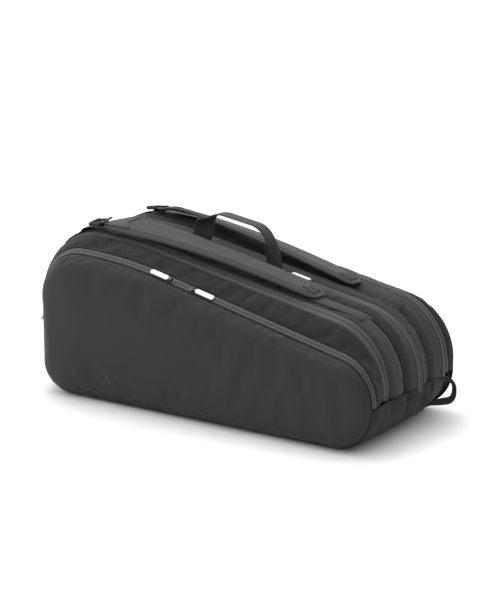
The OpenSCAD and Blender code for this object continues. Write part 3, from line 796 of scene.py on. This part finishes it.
def back_relief(x, z, d):
    return seam_gathers(x, z, d, 23) + 1.2 * wave((x, 0, z), 120, 24) * min(1, d / 30)


def padded_panel(name, key, s, y0, side, depth, cap, relief, body, blend=None):
    """A panel's cloth with its folds, and the stitches round it."""
    panel, dist = panel_sheet(name, s, y0, depth, side, PANEL)
    billow(panel, np.flatnonzero(dist < 0.6), pressure=1.6, grow=0.012, cap=cap, frames=18, bend=2.0)
    p, n = points_of(panel), normals_of(panel)
    for i, q in enumerate(p):
        p[i] = q + n[i] * relief(q[0], q[2], dist[i])
    put_points(panel, p)
    sewn = stitch_mesh(key + "_panel_stitches", [surface_line(panel, closed_outline(s, 4.2, 420), side)],
                       length=2.4, step=3.6)
    thicken(panel, 1.4, inner_slot=1)
    finish_piece(panel, body, "panel_fabric", key + "_panel", blend=blend)
    finish_piece(sewn, body, "panel_fabric", blend=blend)


def quilted_lining(key, s, y0, side, depth, body, seed, blend=None):
    """The lining over a panel's foam."""
    quilt, _ = panel_sheet(key + "_panel_lining", s, y0 + side * 0.5, depth, side, LINING,
                           pitch=9.0, offset=3.5)
    push(quilt, lambda q: 0.5 * wave(q, 30, seed))
    thicken(quilt, 1.6)
    finish_piece(quilt, body, "lining", key + "_foam", blend=blend)


def make_front():
    y0, depth = SEAM_F[0], swell(17.5, 30, 2.6, 5.5)
    padded_panel("front_pocket_panel", "front", SEAM_F, y0, -1, depth, 5.0, front_relief,
                 "front_shell", TO_LID)
    quilted_lining("front", SEAM_F, y0, -1, lambda d: depth(d) * 0.93 - 3.2, "front_shell", 4, TO_LID)
    piping("front_seam_piping", SEAM_F, y0 + 1.2, "front_shell", "front_piping", TO_LID)
    back = flat_sheet("pocket_back_lining", POCKET, 4.5, POCKET[0] - 3.4, PANEL_Z + 3, 0.9, 21)
    finish_piece(back, "front_shell", "lining", "pocket_back")


def make_back():
    y0, depth = SEAM_R[0] + 0.3, swell(12.5, 28, 2.4, 4.0)
    padded_panel("back_panel_cloth", "back", SEAM_R, y0, 1, depth, 4.0, back_relief, "rear_shell")
    quilted_lining("back", SEAM_R, y0, 1, lambda d: depth(d) * 0.9 - 3.0, "rear_shell", 14)
    piping("back_seam_piping", SEAM_R, y0 - 1.6, "rear_shell", "rear_piping", None)


def surface_line(obj, outline, side):
    """Lays a side outline onto a panel's cloth; its points with the cloth's normals."""
    tree = BVHTree.FromPolygons([v.co.copy() for v in obj.data.vertices],
                                [tuple(f.vertices) for f in obj.data.polygons])
    pts, normals = [], []
    for x, z in list(outline) + [outline[0]]:
        hit, normal, _, _ = tree.ray_cast(Vector((x * MM, side, z * MM)), Vector((0, -side, 0)))
        if hit is not None:
            pts.append(np.array(hit) / MM + np.array(normal) * 0.15)
            normals.append(np.array(normal))
    return pts, normals


def tube(name, points, r, material, sides=10, closed=True):
    """A round cord along points, in millimetres."""
    p = np.asarray(points, float)
    count = len(p)
    t = np.roll(p, -1, axis=0) - np.roll(p, 1, axis=0)
    if not closed:
        t[0], t[-1] = p[1] - p[0], p[-1] - p[-2]
    verts = []
    for q, d in zip(p, t):
        d = unit(d)
        a = unit(np.cross(d, (0, 1, 0)))
        b = np.cross(d, a)
        verts += [q + r * (a * cos(2 * pi * k / sides) + b * sin(2 * pi * k / sides))
                  for k in range(sides)]
    faces = grid_faces(count, sides, wrap=True)
    if closed:
        o = (count - 1) * sides
        faces += [(o + i, o + (i + 1) % sides, (i + 1) % sides, i) for i in range(sides)]
    else:
        faces += [tuple(range(sides))[::-1], tuple(range((count - 1) * sides, count * sides))]
    return turn_outwards(new_object(name, verts, faces, material))


def piping(name, s, y, body, node, blend):
    """Covered cord in the seam round a panel."""
    line = [(p[0], y, p[1]) for p in closed_outline(s, 0.4, 560)]
    cord = tube(name, line, 1.75, PIPING)
    push(cord, lambda q: 0.12 * wave(q, 3, 2))
    finish_piece(cord, body, "piping", node, blend=blend)


def flat_sheet(name, s, t, y, z, thickness, seed):
    """A flat lined sheet across the bag, slightly wavy."""
    rim = closed_outline(s, t, 200, z)
    flat, dist, faces = fill([rim], grid_in(rim, 12.0), 6)
    verts = [(p[0], y + 0.8 * min(1, d / 25) * wave((p[0], 0, p[1]), 60, seed), p[1])
             for p, d in zip(flat, dist)]
    return thicken(new_object(name, verts, faces, LINING), thickness, centred=True)


# ---- Base and its end skirts ---------------------------------------------------------------
def base_ends(y):
    """Tall and low end of the base fabric at depth y, and its height over the floor."""
    tall = np.interp(y, [-158, -151, -110, 90, 139, 146], TALL + np.array([41, 38, 10, 10, 34, 36]))
    low = np.interp(y, [-158, -151, -60, 70, 139, 146], LOW + np.array([-1, -1, 0, -6, -24, -27]))
    rise = PANEL_Z * (smooth(-y, 147, 158) + smooth(y, 136, 146))
    return float(tall), float(low), rise


SKIN = np.array([POCKET, ZIP_FA] + [s for stations in LOBES.values() for s in stations]
                + [ZIP_RB, BULGE_R, SEAM_R])


def skin_at(y):
    """Side outline of the whole bag at any depth."""
    return np.array([np.interp(y, SKIN[:, 0], SKIN[:, k]) for k in range(8)])


def skin_top(x, y):
    """Height of the bag's top surface."""
    o = open_outline(skin_at(y), 0, SKIRT_Z, 240)
    return float(np.interp(x, o[:, 0], o[:, 1]))


def base_half(name, y0, y1, blend, *nodes):
    """Base fabric from y0 to y1, turned up at both ends, with the folds of its skirts."""
    rows, cols = 26, 200
    grid = []
    for j in range(rows):
        y = y0 + (y1 - y0) * j / (rows - 1)
        tall, low, rise = base_ends(y)
        a, b, c, d = (tall, SKIRT_Z), (tall, rise), (low, rise), (low, SKIRT_Z)
        path = spread([a] + fillet(a, b, c, TALL_R - rise) + fillet(b, c, d, LOW_R - rise) + [d], cols)
        hollow = max(0.0, low - 4 - skin_at(y)[2])
        row = []
        for x, z in path:
            up = smooth(z, 26, SKIRT_Z)
            fold = smooth(z, 8, 60)
            if x > 0:
                x -= 0.62 * hollow * up
                x += fold * (2.0 * wave((0, y * 1.5, z * 0.35), 26, 31) + 0.9 * wave((0, y, z), 11, 32))
                z -= 2.2 * up * (0.4 + wave((0, y, 0), 30, 33)) * smooth(z, 55, SKIRT_Z)
            else:
                x += fold * (0.8 * wave((0, y * 1.5, z * 0.35), 26, 34) + 0.3 * wave((0, y, z), 9, 35))
            row.append((x, y, z))
        grid.append(row)
    obj = sheet_of(name, np.array(grid), GUSSET, LINING, flip=True)
    p, n = points_of(obj).reshape(rows, cols, 3), normals_of(obj).reshape(rows, cols, 3)
    sewn = stitch_mesh(name + "_stitches", [(p[:, c] + n[:, c] * 0.15 - np.array([0, 0, 2.0]), n[:, c])
                                            for c in (1, cols - 2)])
    thicken(obj, 2.2, inner_slot=1)
    finish_piece(obj, "bag", "gusset_fabric", *nodes, blend=blend)
    finish_piece(sewn, "bag", "gusset_fabric", blend=blend)


def make_base():
    middle = -10.0
    base_half("base_cloth_front", -157.4, middle, TO_FRONT, "base_panel", "low_end_skirt", "tall_end_skirt")
    base_half("base_cloth_rear", middle, 145.4, TO_REAR)
    board = frame["nodes"]["base_board"]
    board.data.materials.clear()
    board.data.materials.append(BOARD)
    for name, s, div, node, seed in (("divider_front", VALLEY_F, DIV_F, "front_divider", 41),
                                     ("divider_rear", VALLEY_R, DIV_R, "rear_divider", 42)):
        y = (div[0] + div[1]) / 2
        sheet = flat_sheet(name, s, 0.5, y, edge(node, 0, 2), 2.2, seed)
        finish_piece(sheet, "bag", "lining", node)
        line = [(p[0], y, p[1]) for p in open_outline(s, -0.2, SKIRT_Z - 4, 420)]
        cord = tube(name + "_seam", line, 1.5, BINDING, sides=8, closed=False)
        finish_piece(cord, "bag", "piping")


# ---- Shoulder straps ---------------------------------------------------------------------------
def joint(name):
    return next(j for j in frame["joints"] if j["name"] == name)


def joint_at(name):
    """A point on a joint's axis, in millimetres."""
    return np.array(joint(name)["pos_m"]) / MM


def joint_axis(name):
    return unit(np.array(joint(name)["axis"], float))


PAD_W = 56.0            # width of a pad and thickness of its padding
PAD_T = 8.0
PAD_END = 14            # the pad ends this far from the buckle's axis
# By the share of the strap's length: how far the pad stands over the straight line from its
# root to its tip, and how far its outer edge drops.
ARCH_AT = [0, 0.05, 0.15, 0.27, 0.38, 0.5, 0.61, 0.68, 0.74, 0.8, 0.85, 0.89, 0.93, 0.96, 1]
ARCH = [0, 3, 6, 8.5, 10.2, 11.2, 11.5, 11.2, 10.5, 9, 7, 4.4, 1, -2.4, -6]
ROLL = [1, 2, 2.3, 2.7, 3.3, 4.4, 6, 7.2, 8.2, 9.2, 10, 10, 8.6, 6.4, 3.4]


class StrapFrame:
    """Local frame of one strap: s runs from the sewn end to the tip, v across, z up."""

    def __init__(self, side):
        self.root, self.tip = joint_at(side + "_strap_lift"), joint_at(side + "_buckle_turn")
        self.x = unit(self.root - self.tip)
        self.y = joint_axis(side + "_strap_lift")
        self.z = np.cross(self.x, self.y)
        self.length = float(np.linalg.norm(self.root - self.tip))
        self.inward = 1 if self.y[1] * self.root[1] < 0 else -1    # side of the bag's middle

    def at(self, s, v, z):
        """The pad arches over the bag, sinks to it at the tip and rolls outwards."""
        arch = np.interp(s / self.length, ARCH_AT, ARCH)
        roll = np.interp(s / self.length, ARCH_AT, ROLL) * self.inward * v / PAD_W * 2
        return self.root - self.x * s + self.y * v + self.z * (z + arch + roll)

    def from_tip(self, x, v, z):
        """A point by its distance x from the pad's tip, towards the sewn end."""
        return self.at(self.length - x, v, z)

    def off_line(self, x, z):
        """The same beside the straight line from root to tip, without the arch."""
        return self.tip + self.x * x + self.z * z


def pad_width(s, length):
    """Half the pad's width: round at the root, tapered to the tip."""
    at = [0, 3, 9, 20, 38, length - 95, length - 38, length - 21, length - PAD_END]
    return PAD_W / 2 * float(np.interp(s, at, [0.42, 0.62, 0.82, 0.96, 1.0, 1.0, 0.84, 0.64, 0.5]))


def pad_height(s, length):
    """Thickness of the padding: full in the middle, thin at both sewn ends."""
    return PAD_T * (0.42 + 0.58 * smooth(s, 2, 34)) * (0.45 + 0.55 * smooth(length - s, 8, 60))


def pad_lift(s, length):
    """The pad bows up a little over its middle."""
    return 1.6 * sin(pi * min(1, s / length)) ** 2


def pad_top(s, v, length):
    """Height of the pad's upper face at v, from -1 to 1 across, with its bound edge."""
    crown = (1 - abs(v) ** 7) ** 0.5
    edge_band = 0.4 * smooth(abs(v), 0.80, 0.83) * (1 - smooth(abs(v), 0.97, 1.0))
    dip = -0.7 * np.exp(-((abs(v) - 0.76) / 0.05) ** 2)
    t = pad_height(s, length)
    slope = 1 - 0.3 * smooth(abs(v), 0.5, 1.0)
    return pad_lift(s, length) + t * (0.3 + 0.7 * crown) * slope + edge_band + dip


def make_pad(side, f):
    across = [-1, -0.985, -0.95, -0.9, -0.84, -0.815, -0.79, -0.76, -0.7, -0.58, -0.42, -0.22, 0,
              0.22, 0.42, 0.58, 0.7, 0.76, 0.79, 0.815, 0.84, 0.9, 0.95, 0.985, 1]
    stations = np.r_[0, 1.5, 3.5, 6, np.arange(10, f.length - 19, 4.0), f.length - 17, f.length - PAD_END]
    verts = []
    m = len(across)
    seed = 51 if side == "front" else 61
    for s in stations:
        w = pad_width(s, f.length)
        base = pad_lift(s, f.length)
        for v in across:
            z = pad_top(s, v, f.length) + 0.25 * wave((s, v * w, 0), 24, seed) * (1 - abs(v))
            z += 0.35 * wave((s / 6.0, seed, 0), 1.0, seed) * smooth(abs(v), 0.55, 0.8)
            verts.append(f.at(s, v * w, z))
        for v in across[::-1]:
            rim = abs(v) == 1
            verts.append(f.at(s, v * (w - 1.2 if rim else w), base + (0.9 if rim else 0.25)))
    cols = 2 * m
    faces = grid_faces(len(stations), cols, wrap=True, flip=True)
    for ring in (0, (len(stations) - 1) * cols):
        faces += [(ring + i, ring + i + 1, ring + cols - 2 - i, ring + cols - 1 - i)
                  for i in range(m - 1)]
    pad = turn_outwards(new_object(side + "_shoulder_pad", verts, faces, STRAP, BINDING))
    co = points_of(pad)
    for poly in pad.data.polygons:
        c = np.mean([co[i] for i in poly.vertices], axis=0) - f.root
        s, v = -float(c @ f.x), float(c @ f.y)
        if abs(v) > 0.82 * pad_width(s, f.length) and s > 4:
            poly.material_index = 1
    modify(pad, "SUBSURF", levels=1, render_levels=1)
    along = np.arange(14, f.length - 18, 4.0)
    lines = [([f.at(s, v * pad_width(s, f.length), pad_top(s, abs(v), f.length) + 0.3) for s in along],
              [f.z] * len(along)) for v in (-0.89, -0.72, 0.89, 0.72)]
    lines += patch_lines(f)
    sewn = stitch_mesh(side + "_pad_stitches", lines, length=2.8, step=4.0, wide=0.5, high=0.4)
    patches = pad_patches(side, f)
    bend_from, bend_to = (tuple(f.at(f.length / 2 + d, 0, 0)) for d in (-70, 70))
    blend = (side + "_strap_tip", bend_from, bend_to)
    body = side + "_strap_root"
    finish_piece(pad, body, "strap_fabric", side + "_pad_root", side + "_pad_tip", blend=blend)
    finish_piece(sewn, body, "strap_fabric", blend=blend)
    finish_piece(patches, body, "strap_fabric", blend=blend)


def tip_patch(length):
    """Outline of the stitched patch at the pad's tip, as (s, v in mm)."""
    e = length - PAD_END
    return [(e, -13), (e - 34, -19), (e - 58, -20), (e - 44, 0), (e - 58, 20), (e - 34, 19), (e, 13)]


ROOT_PATCH = [(9, -12), (9, 12), (35, 14), (35, -14)]


def on_pad(f, points, lift):
    """Lays (s, v) points on the pad's upper face."""
    return [f.at(s, v, pad_top(s, v / max(1, pad_width(s, f.length)), f.length) + lift)
            for s, v in points]


def patch_lines(f):
    """Stitches on the two patches: round the tip's, round and across the root's."""
    inner = [(s - (2.2 if s > f.length - 40 else -2.2), v * 0.86) for s, v in tip_patch(f.length)]
    box = [(s, v * 0.84) for s, v in ROOT_PATCH]
    runs = [inner, box + box[:1], [box[0], box[2]], [box[1], box[3]]]
    return [(on_pad(f, spread(arrays(r), 60), 1.15), [f.z] * 60) for r in runs]


def pad_patches(side, f):
    """Two thin reinforcing patches laid on the pad's upper face."""
    verts, faces = [], []
    for outline in (tip_patch(f.length), ROOT_PATCH):
        rim = spread(arrays(outline), 90, closed=True)
        flat, _, tris = fill([rim], grid_in(rim, 4.0), 2)
        k = len(verts)
        verts += on_pad(f, flat, 0.9)
        faces += [tuple(k + i for i in t) for t in tris]
    obj = new_object(side + "_pad_patches", verts, faces, BINDING)
    face_towards(obj, f.z)
    return thicken(obj, 0.9)


def face_towards(obj, up):
    """Flips an open sheet whose faces look away from up."""
    if sum(float(np.dot(p.normal, up)) for p in obj.data.polygons) < 0:
        obj.data.flip_normals()


def strap_axes(d, side):
    """Across and up directions of a strap that runs along d, its width near side."""
    side = unit(side - d * float(side @ d))
    return side, unit(np.cross(d, side))


def ribbon(name, line, across, width, thickness, material, ridges=4, ridge=0.25):
    """A flat strap along a line of points; across, the direction of its width, and width may
    be functions of the place from 0 to 1 (across also of the strap's direction there)."""
    line = np.array(line, float)
    pts = spread(line, max(12, int(distances(line)[-1] / 3.0)))
    verts = []
    m = 20
    for i, (p, d) in enumerate(zip(pts, np.gradient(pts, axis=0))):
        u = i / (len(pts) - 1)
        d = unit(d)
        side, up = strap_axes(d, across(u, d) if callable(across) else np.array(across, float))
        w = width(u) if callable(width) else width
        for j in range(m + 1):
            v = j / m * 2 - 1
            z = thickness / 2 * (1 - 0.5 * abs(v) ** 8) + ridge * cos(pi * ridges * v) * (abs(v) < 0.97)
            verts.append(p + side * v * w / 2 + up * z)
        for j in range(m, -1, -1):
            v = j / m * 2 - 1
            verts.append(p + side * v * w / 2 * 0.995 - up * (thickness / 2 * (1 - 0.5 * abs(v) ** 8)))
    cols = 2 * (m + 1)
    faces = grid_faces(len(pts), cols, wrap=True)
    faces += [tuple(range(cols))[::-1], tuple(range((len(pts) - 1) * cols, len(pts) * cols))]
    return turn_outwards(new_object(name, verts, faces, material))


def extruded(name, place, parts, bevel):
    """Side profiles of a strap's buckle swept across it: parts are ([(x, z)], v0, v1)."""
    bm = bmesh.new()
    for outline, v0, v1 in parts:
        a = [bm.verts.new([c * MM for c in place(x, v0, z)]) for x, z in outline]
        b = [bm.verts.new([c * MM for c in place(x, v1, z)]) for x, z in outline]
        n = len(outline)
        bm.faces.new(a)
        bm.faces.new(b[::-1])
        for i in range(n):
            bm.faces.new((a[i], b[i], b[(i + 1) % n], a[(i + 1) % n]))
    return round_edges(object_of(bm, name, BUCKLE), bevel, 3, 35)


def disc(x, z, r, n=20, rx=1.0):
    """A round profile, stretched along x by rx."""
    return [(x + r * rx * cos(2 * pi * i / n), z + r * sin(2 * pi * i / n)) for i in range(n)]


def make_buckle(side, f):
    """The ladder buckle with its grip ribs, and the webbing loop that holds it to the pad."""
    place = f.from_tip
    rail = [(-20, -3.5), (-18.5, 0), (-10, 2.6), (0, 6), (7, 9), (10.4, 8.8), (11, 6.4), (8.6, 4.8),
            (3, 2.6), (2.6, -1.4), (0, -2.6), (-3, -1), (-8, -1.6), (-17, -5.4)]
    parts = [(rail, 12.6, 15.8), (rail, -15.8, -12.6), (disc(-17, -2, 3.7, 24), -15.2, 15.2),
             (disc(8.4, 6.9, 1.8, 20, 1.3), -13, 13), (disc(0, 0, 1.9), -13, 13),
             (disc(-8.5, 0.2, 1.4), -13, 13)]
    obj = extruded(side + "_ladder_buckle", place, parts, 0.7)
    grips = [(disc(-19.2 + 1.7 * i, 0.9 + 0.35 * i, 0.6, 8), -11, 11) for i in range(3)]
    ribs = extruded(side + "_buckle_grips", place, grips, 0.15)
    finish_piece(obj, side + "_buckle_body", "buckle_plastic", side + "_buckle")
    finish_piece(ribs, side + "_buckle_body", "buckle_plastic")
    turn = [(3.3 * cos(a), 3.3 * sin(a)) for a in np.linspace(pi / 2, 3 * pi / 2, 12)]
    loop = [place(x, 0, z) for x, z in [(22, 2.2), (10, 2.6), (3, 3.6)] + turn + [(6, -3.0), (18, -0.6)]]
    tab = ribbon(side + "_pad_tip_loop", loop, f.y, 25, 1.3, WEBBING)
    finish_piece(tab, side + "_strap_tip", "webbing")


def make_webbing(side, f):
    """Webbing from the buckle's bars down to where it is sewn on the bag."""
    path = [(58, -9), (44, -11.5), (30, -13.2), (12, -14), (0, -14), (-12, -14.2), (-19, -15.8),
            (-27, -19.6), (-34, -24)]
    line = [f.off_line(x, h) for x, h in path]
    for x in (-44, -56, -68, -82):
        p = f.from_tip(x, 0, 0)
        line.append(np.array([p[0], p[1], skin_top(p[0], p[1]) + 1.2]))
    web = ribbon(side + "_strap_webbing", line, f.y, 24, 1.5, WEBBING)
    box = [(-58, -9.5), (-58, 9.5), (-74, 9.5), (-74, -9.5), (-58, -9.5), (-74, 9.5)]
    pts = [f.from_tip(x, v, 0) for x, v in spread(arrays(box), 70)]
    pts = [(p[0], p[1], skin_top(p[0], f.from_tip(-66, 0, 0)[1]) + 2.2) for p in pts]
    sewn = stitch_mesh(side + "_anchor_stitches", [(pts, [unit(np.array([-0.5, 0, 1]))] * len(pts))])
    finish_piece(web, "bag", "webbing", side + "_webbing")
    finish_piece(sewn, "bag", "webbing")


def make_tail(side, f, sign):
    """Flat cloth that carries the pad down the shoulder to its seam."""
    rows, cols, width = 16, 15, 44.0

    def lie(s, v):
        """A point of the tail: on the shoulder, or level with the seam where that is higher."""
        x, y, _ = f.at(s, v, 0)
        return x, y, max(skin_top(x, y) + 1.5, skin_top(x, f.root[1]) - 2.0 - 0.12 * abs(v))

    grid = []
    for j in range(rows):
        s = -92.0 + 106.0 * j / (rows - 1)
        for i in range(cols):
            v = (i / (cols - 1) - 0.5) * width
            x, y, z = lie(s, v)
            grid.append((x, y, z + 1.2 * smooth(s, -8, 10) + 0.25 * wave((s, v, sign), 18, 71)))
    obj = sheet_of(side + "_strap_tail_cloth", np.array(grid).reshape(rows, cols, 3), SHOULDER,
                   flip=sign > 0)
    face_towards(obj, (0, 0, 1))
    modify(obj, "SUBSURF", levels=1, render_levels=1)
    lines = []
    for run in ([(-88, -20), (-88, 20)], [(-85.5, -20), (-85.5, 20)], [(-84, -19.5), (8, -19.5)],
                [(-84, 19.5), (8, 19.5)]):
        pts = [np.array(lie(s, v)) + (0, 0, 0.3) for s, v in spread(arrays(run), 30)]
        lines.append((pts, [unit(np.array([FALL, 0, 1]))] * len(pts)))
    sewn = stitch_mesh(side + "_tail_stitches", lines, wide=0.5, high=0.35)
    thicken(obj, 1.2)
    finish_piece(obj, "bag", "strap_fabric", side + "_strap_tail")
    finish_piece(sewn, "bag", "strap_fabric")


def make_straps():
    for side, sign in (("front", -1), ("rear", 1)):
        f = StrapFrame(side)
        make_pad(side, f)
        make_buckle(side, f)
        make_webbing(side, f)
        make_tail(side, f, sign)


# ---- Carry handle and end loop ----------------------------------------------------------------
HANDLE_X = (-92.0, 78.0)
HANDLE_Y = -14.0


def make_handle():
    feet = [RIDGE_MA[3] - FALL * x + 0.2 for x in HANDLE_X]
    a, b, c, d = (HANDLE_X[0] + 1.5, feet[0]), (-72.5, 355.5), (60.5, 333.5), (HANDLE_X[1] - 1.5, feet[1])
    line = [a] + fillet(a, b, c, 48, 14) + fillet(b, c, d, 44, 14) + [d]
    pts = [(x, HANDLE_Y, z) for x, z in line]

    def turn(u):
        """1 at the sewn feet, where the webbing lies turned, to 0 along the grip."""
        return 1 - smooth(u, 0.08, 0.26) + smooth(u, 0.76, 0.96)

    def across(u, d):
        a = turn(u) * pi / (2 if u < 0.5 else 3)
        return np.array([sin(a), cos(a), 0.0])

    def width(u):
        return 29 + (13 if u < 0.5 else -3) * turn(u) ** 2

    obj = ribbon("carry_handle_webbing", pts, across, width, 2.6, WEBBING, ridges=5)
    slope = unit(np.array([FALL, 0, 1.0]))
    axis = joint_at("handle_tilt")
    blend = ("handle", tuple(axis + slope * 1), tuple(axis + slope * 22))
    run = spread(arrays(pts), 90)
    way = [unit(d) for d in np.gradient(run, axis=0)]
    share = np.arange(90) / 89
    axes = [strap_axes(d, across(u, d)) for u, d in zip(share, way)]
    lines = [([p + side * v * width(u) + up * 1.45 for p, u, (side, up) in zip(run, share, axes)],
              [up for _, up in axes]) for v in (-0.42, 0.42)]
    sewn = stitch_mesh("carry_handle_stitches", lines, length=2.8, step=4.2)
    finish_piece(obj, "bag", "webbing", "carry_handle", blend=blend)
    finish_piece(sewn, "bag", "webbing", blend=blend)
    for k, x in enumerate(HANDLE_X):
        spots = [(x + (i - 4) * 4.2, HANDLE_Y + (j - 4) * 4.1) for i in range(9) for j in range(9)]
        rows = np.array([(a, b, skin_top(a, b) + 1.0) for a, b in spots]).reshape(9, 9, 3)
        tab = sheet_of("handle_tab_%d" % (k + 1), rows, WEBBING)
        face_towards(tab, (0, 0, 1))
        thicken(tab, 0.9)
        finish_piece(tab, "bag", "webbing", *(["handle_tabs"] if k == 0 else []))


def make_end_loop():
    low, high = (edge("end_loop", c, 1) for c in (0, 1))
    y = (low + high) / 2
    a, b, c, d = (LOW + 3, 87), (LOW + 42, 97), (LOW + 41, 56), (LOW - 2, 44)
    line = [(LOW - 3, 87.5), a] + fillet(a, b, c, 15, 10) + fillet(b, c, d, 19, 10) + [d, (LOW - 12, 37)]

    def across(u, d):
        """The loop's webbing twists outwards over its middle."""
        a = radians(62) * sin(pi * u) ** 0.6
        return np.array([0, cos(a), 0]) + np.cross((0, 1, 0), d) * sin(a)

    obj = ribbon("end_loop_webbing", [(x, y, z) for x, z in line], across, 14.0, 1.9, WEBBING,
                 ridges=3, ridge=0.2)
    mid = joint_at("end_loop_swing")
    out = np.array([0.9934, 0, -0.1146])
    finish_piece(obj, "bag", "webbing", "end_loop", "loop_tabs",
                 blend=("loop", tuple(mid), tuple(mid + out * 14)))


# ---- Zip sliders and their rubber pulls -----------------------------------------------------------
def make_pull(key, tab):
    """A pill of white rubber with a sunken middle, made to the measures of its CAD node."""
    pin, axis = joint_at(key + "_turn"), joint_axis(key + "_turn")
    nodes = points_of(frame["nodes"][tab])
    centre = (nodes.min(0) + nodes.max(0)) / 2
    along = unit(centre - pin - axis * float((centre - pin) @ axis))
    out = np.cross(along, axis)
    reach, across, deep = ((nodes - pin) @ d for d in (along, axis, out))
    s0, s1, r = float(reach.min()), float(reach.max()), float(across.max())
    thick = float(deep.max() - deep.min())
    arc = [(r * cos(a), r * sin(a)) for a in np.linspace(-pi / 2, pi / 2, 17)]
    rim = [(s0 + r - c, -v) for c, v in arc] + [(s1 - r + c, v) for c, v in arc]
    bm = bmesh.new()
    rings = []
    for grow, h in ((0.86, -0.5), (1.0, -0.3), (1.0, 0.3), (0.86, 0.5), (0.72, 0.5), (0.66, 0.36)):
        ring = []
        for s, v in rim:
            spine = min(max(s, s0 + r), s1 - r)
            q = pin + along * (spine + (s - spine) * grow) + axis * v * grow + out * h * thick
            ring.append(bm.verts.new([c * MM for c in q]))
        rings.append(ring)
    for a, b in zip(rings, rings[1:]):
        for i in range(len(a)):
            e = (i + 1) % len(a)
            bm.faces.new((a[i], a[e], b[e], b[i]))
    bm.faces.new(rings[0][::-1])
    bm.faces.new(rings[-1])
    obj = round_edges(object_of(bm, tab + "_rubber", RUBBER), 0.35, 2, 30)
    finish_piece(obj, key, "pull_rubber", tab)


def make_sliders():
    for key in ("pocket_pull_a", "pocket_pull_b", "front_pull", "centre_pull", "rear_pull"):
        make_pull(key, key.replace("pull", "tab"))
    for name, node in frame["nodes"].items():
        if "slider" in name or "link" in name:
            node.data.materials.clear()
            node.data.materials.append(METAL)


make_base()
make_walls()
make_zips()
make_front()
make_back()
make_straps()
make_handle()
make_end_loop()
make_sliders()

# ---- Studio -------------------------------------------------------------------------------------
bpy.ops.mesh.primitive_plane_add(size=60, location=(0, 0, -0.0006))
floor = bpy.context.object
floor.name = "studio_floor"
paper = Shader("studio_paper", 0.9)
paper.colour((0.86, 0.86, 0.86), (0.9, 0.9, 0.9), paper.noise(0.4))
floor.data.materials.append(paper.done())

world = bpy.data.worlds.new("studio")
scene.world = world
world.use_nodes = True
sky = world.node_tree
sky.nodes["Background"].inputs["Color"].default_value = (1, 1, 1, 1)
sky_place = sky.nodes.new("ShaderNodeTexCoord")
sky_dot = sky.nodes.new("ShaderNodeVectorMath")
sky_dot.operation = "DOT_PRODUCT"
sky_dot.inputs[1].default_value = (-0.55, 0.0, 0.835)
sky_range = sky.nodes.new("ShaderNodeMapRange")
for key, value in (("From Min", -0.6), ("From Max", 0.9), ("To Min", 0.03), ("To Max", 1.75)):
    sky_range.inputs[key].default_value = value
sky.links.new(sky_place.outputs["Generated"], sky_dot.inputs[0])
sky.links.new(sky_dot.outputs["Value"], sky_range.inputs["Value"])
sky.links.new(sky_range.outputs[0], sky.nodes["Background"].inputs["Strength"])
scene.view_settings.view_transform = "Standard"


def area_light(name, place, aim, size, power):
    light = bpy.data.lights.new(name, "AREA")
    light.energy = power
    light.shape = "RECTANGLE"
    light.size, light.size_y = size
    obj = bpy.data.objects.new(name, light)
    obj.location = place
    obj.rotation_euler = (Vector(aim) - Vector(place)).to_track_quat("-Z", "Y").to_euler()
    scene.collection.objects.link(obj)


area_light("overhead", (-0.5, 0.3, 1.9), (0, 0, 0.15), (1.4, 1.0), 16)

AZIMUTH, ELEVATION = radians(34.6), radians(13.6)
camera = bpy.data.cameras.new("camera")
camera.lens = 108
camera.sensor_width = 36
camera.sensor_fit = "AUTO"
eye = bpy.data.objects.new("camera", camera)
eye.location = (1.8278, -2.6350, 0.9664)
back = Vector((sin(AZIMUTH) * cos(ELEVATION), -cos(AZIMUTH) * cos(ELEVATION), sin(ELEVATION)))
eye.rotation_euler = back.to_track_quat("Z", "Y").to_euler()
scene.collection.objects.link(eye)
scene.camera = eye
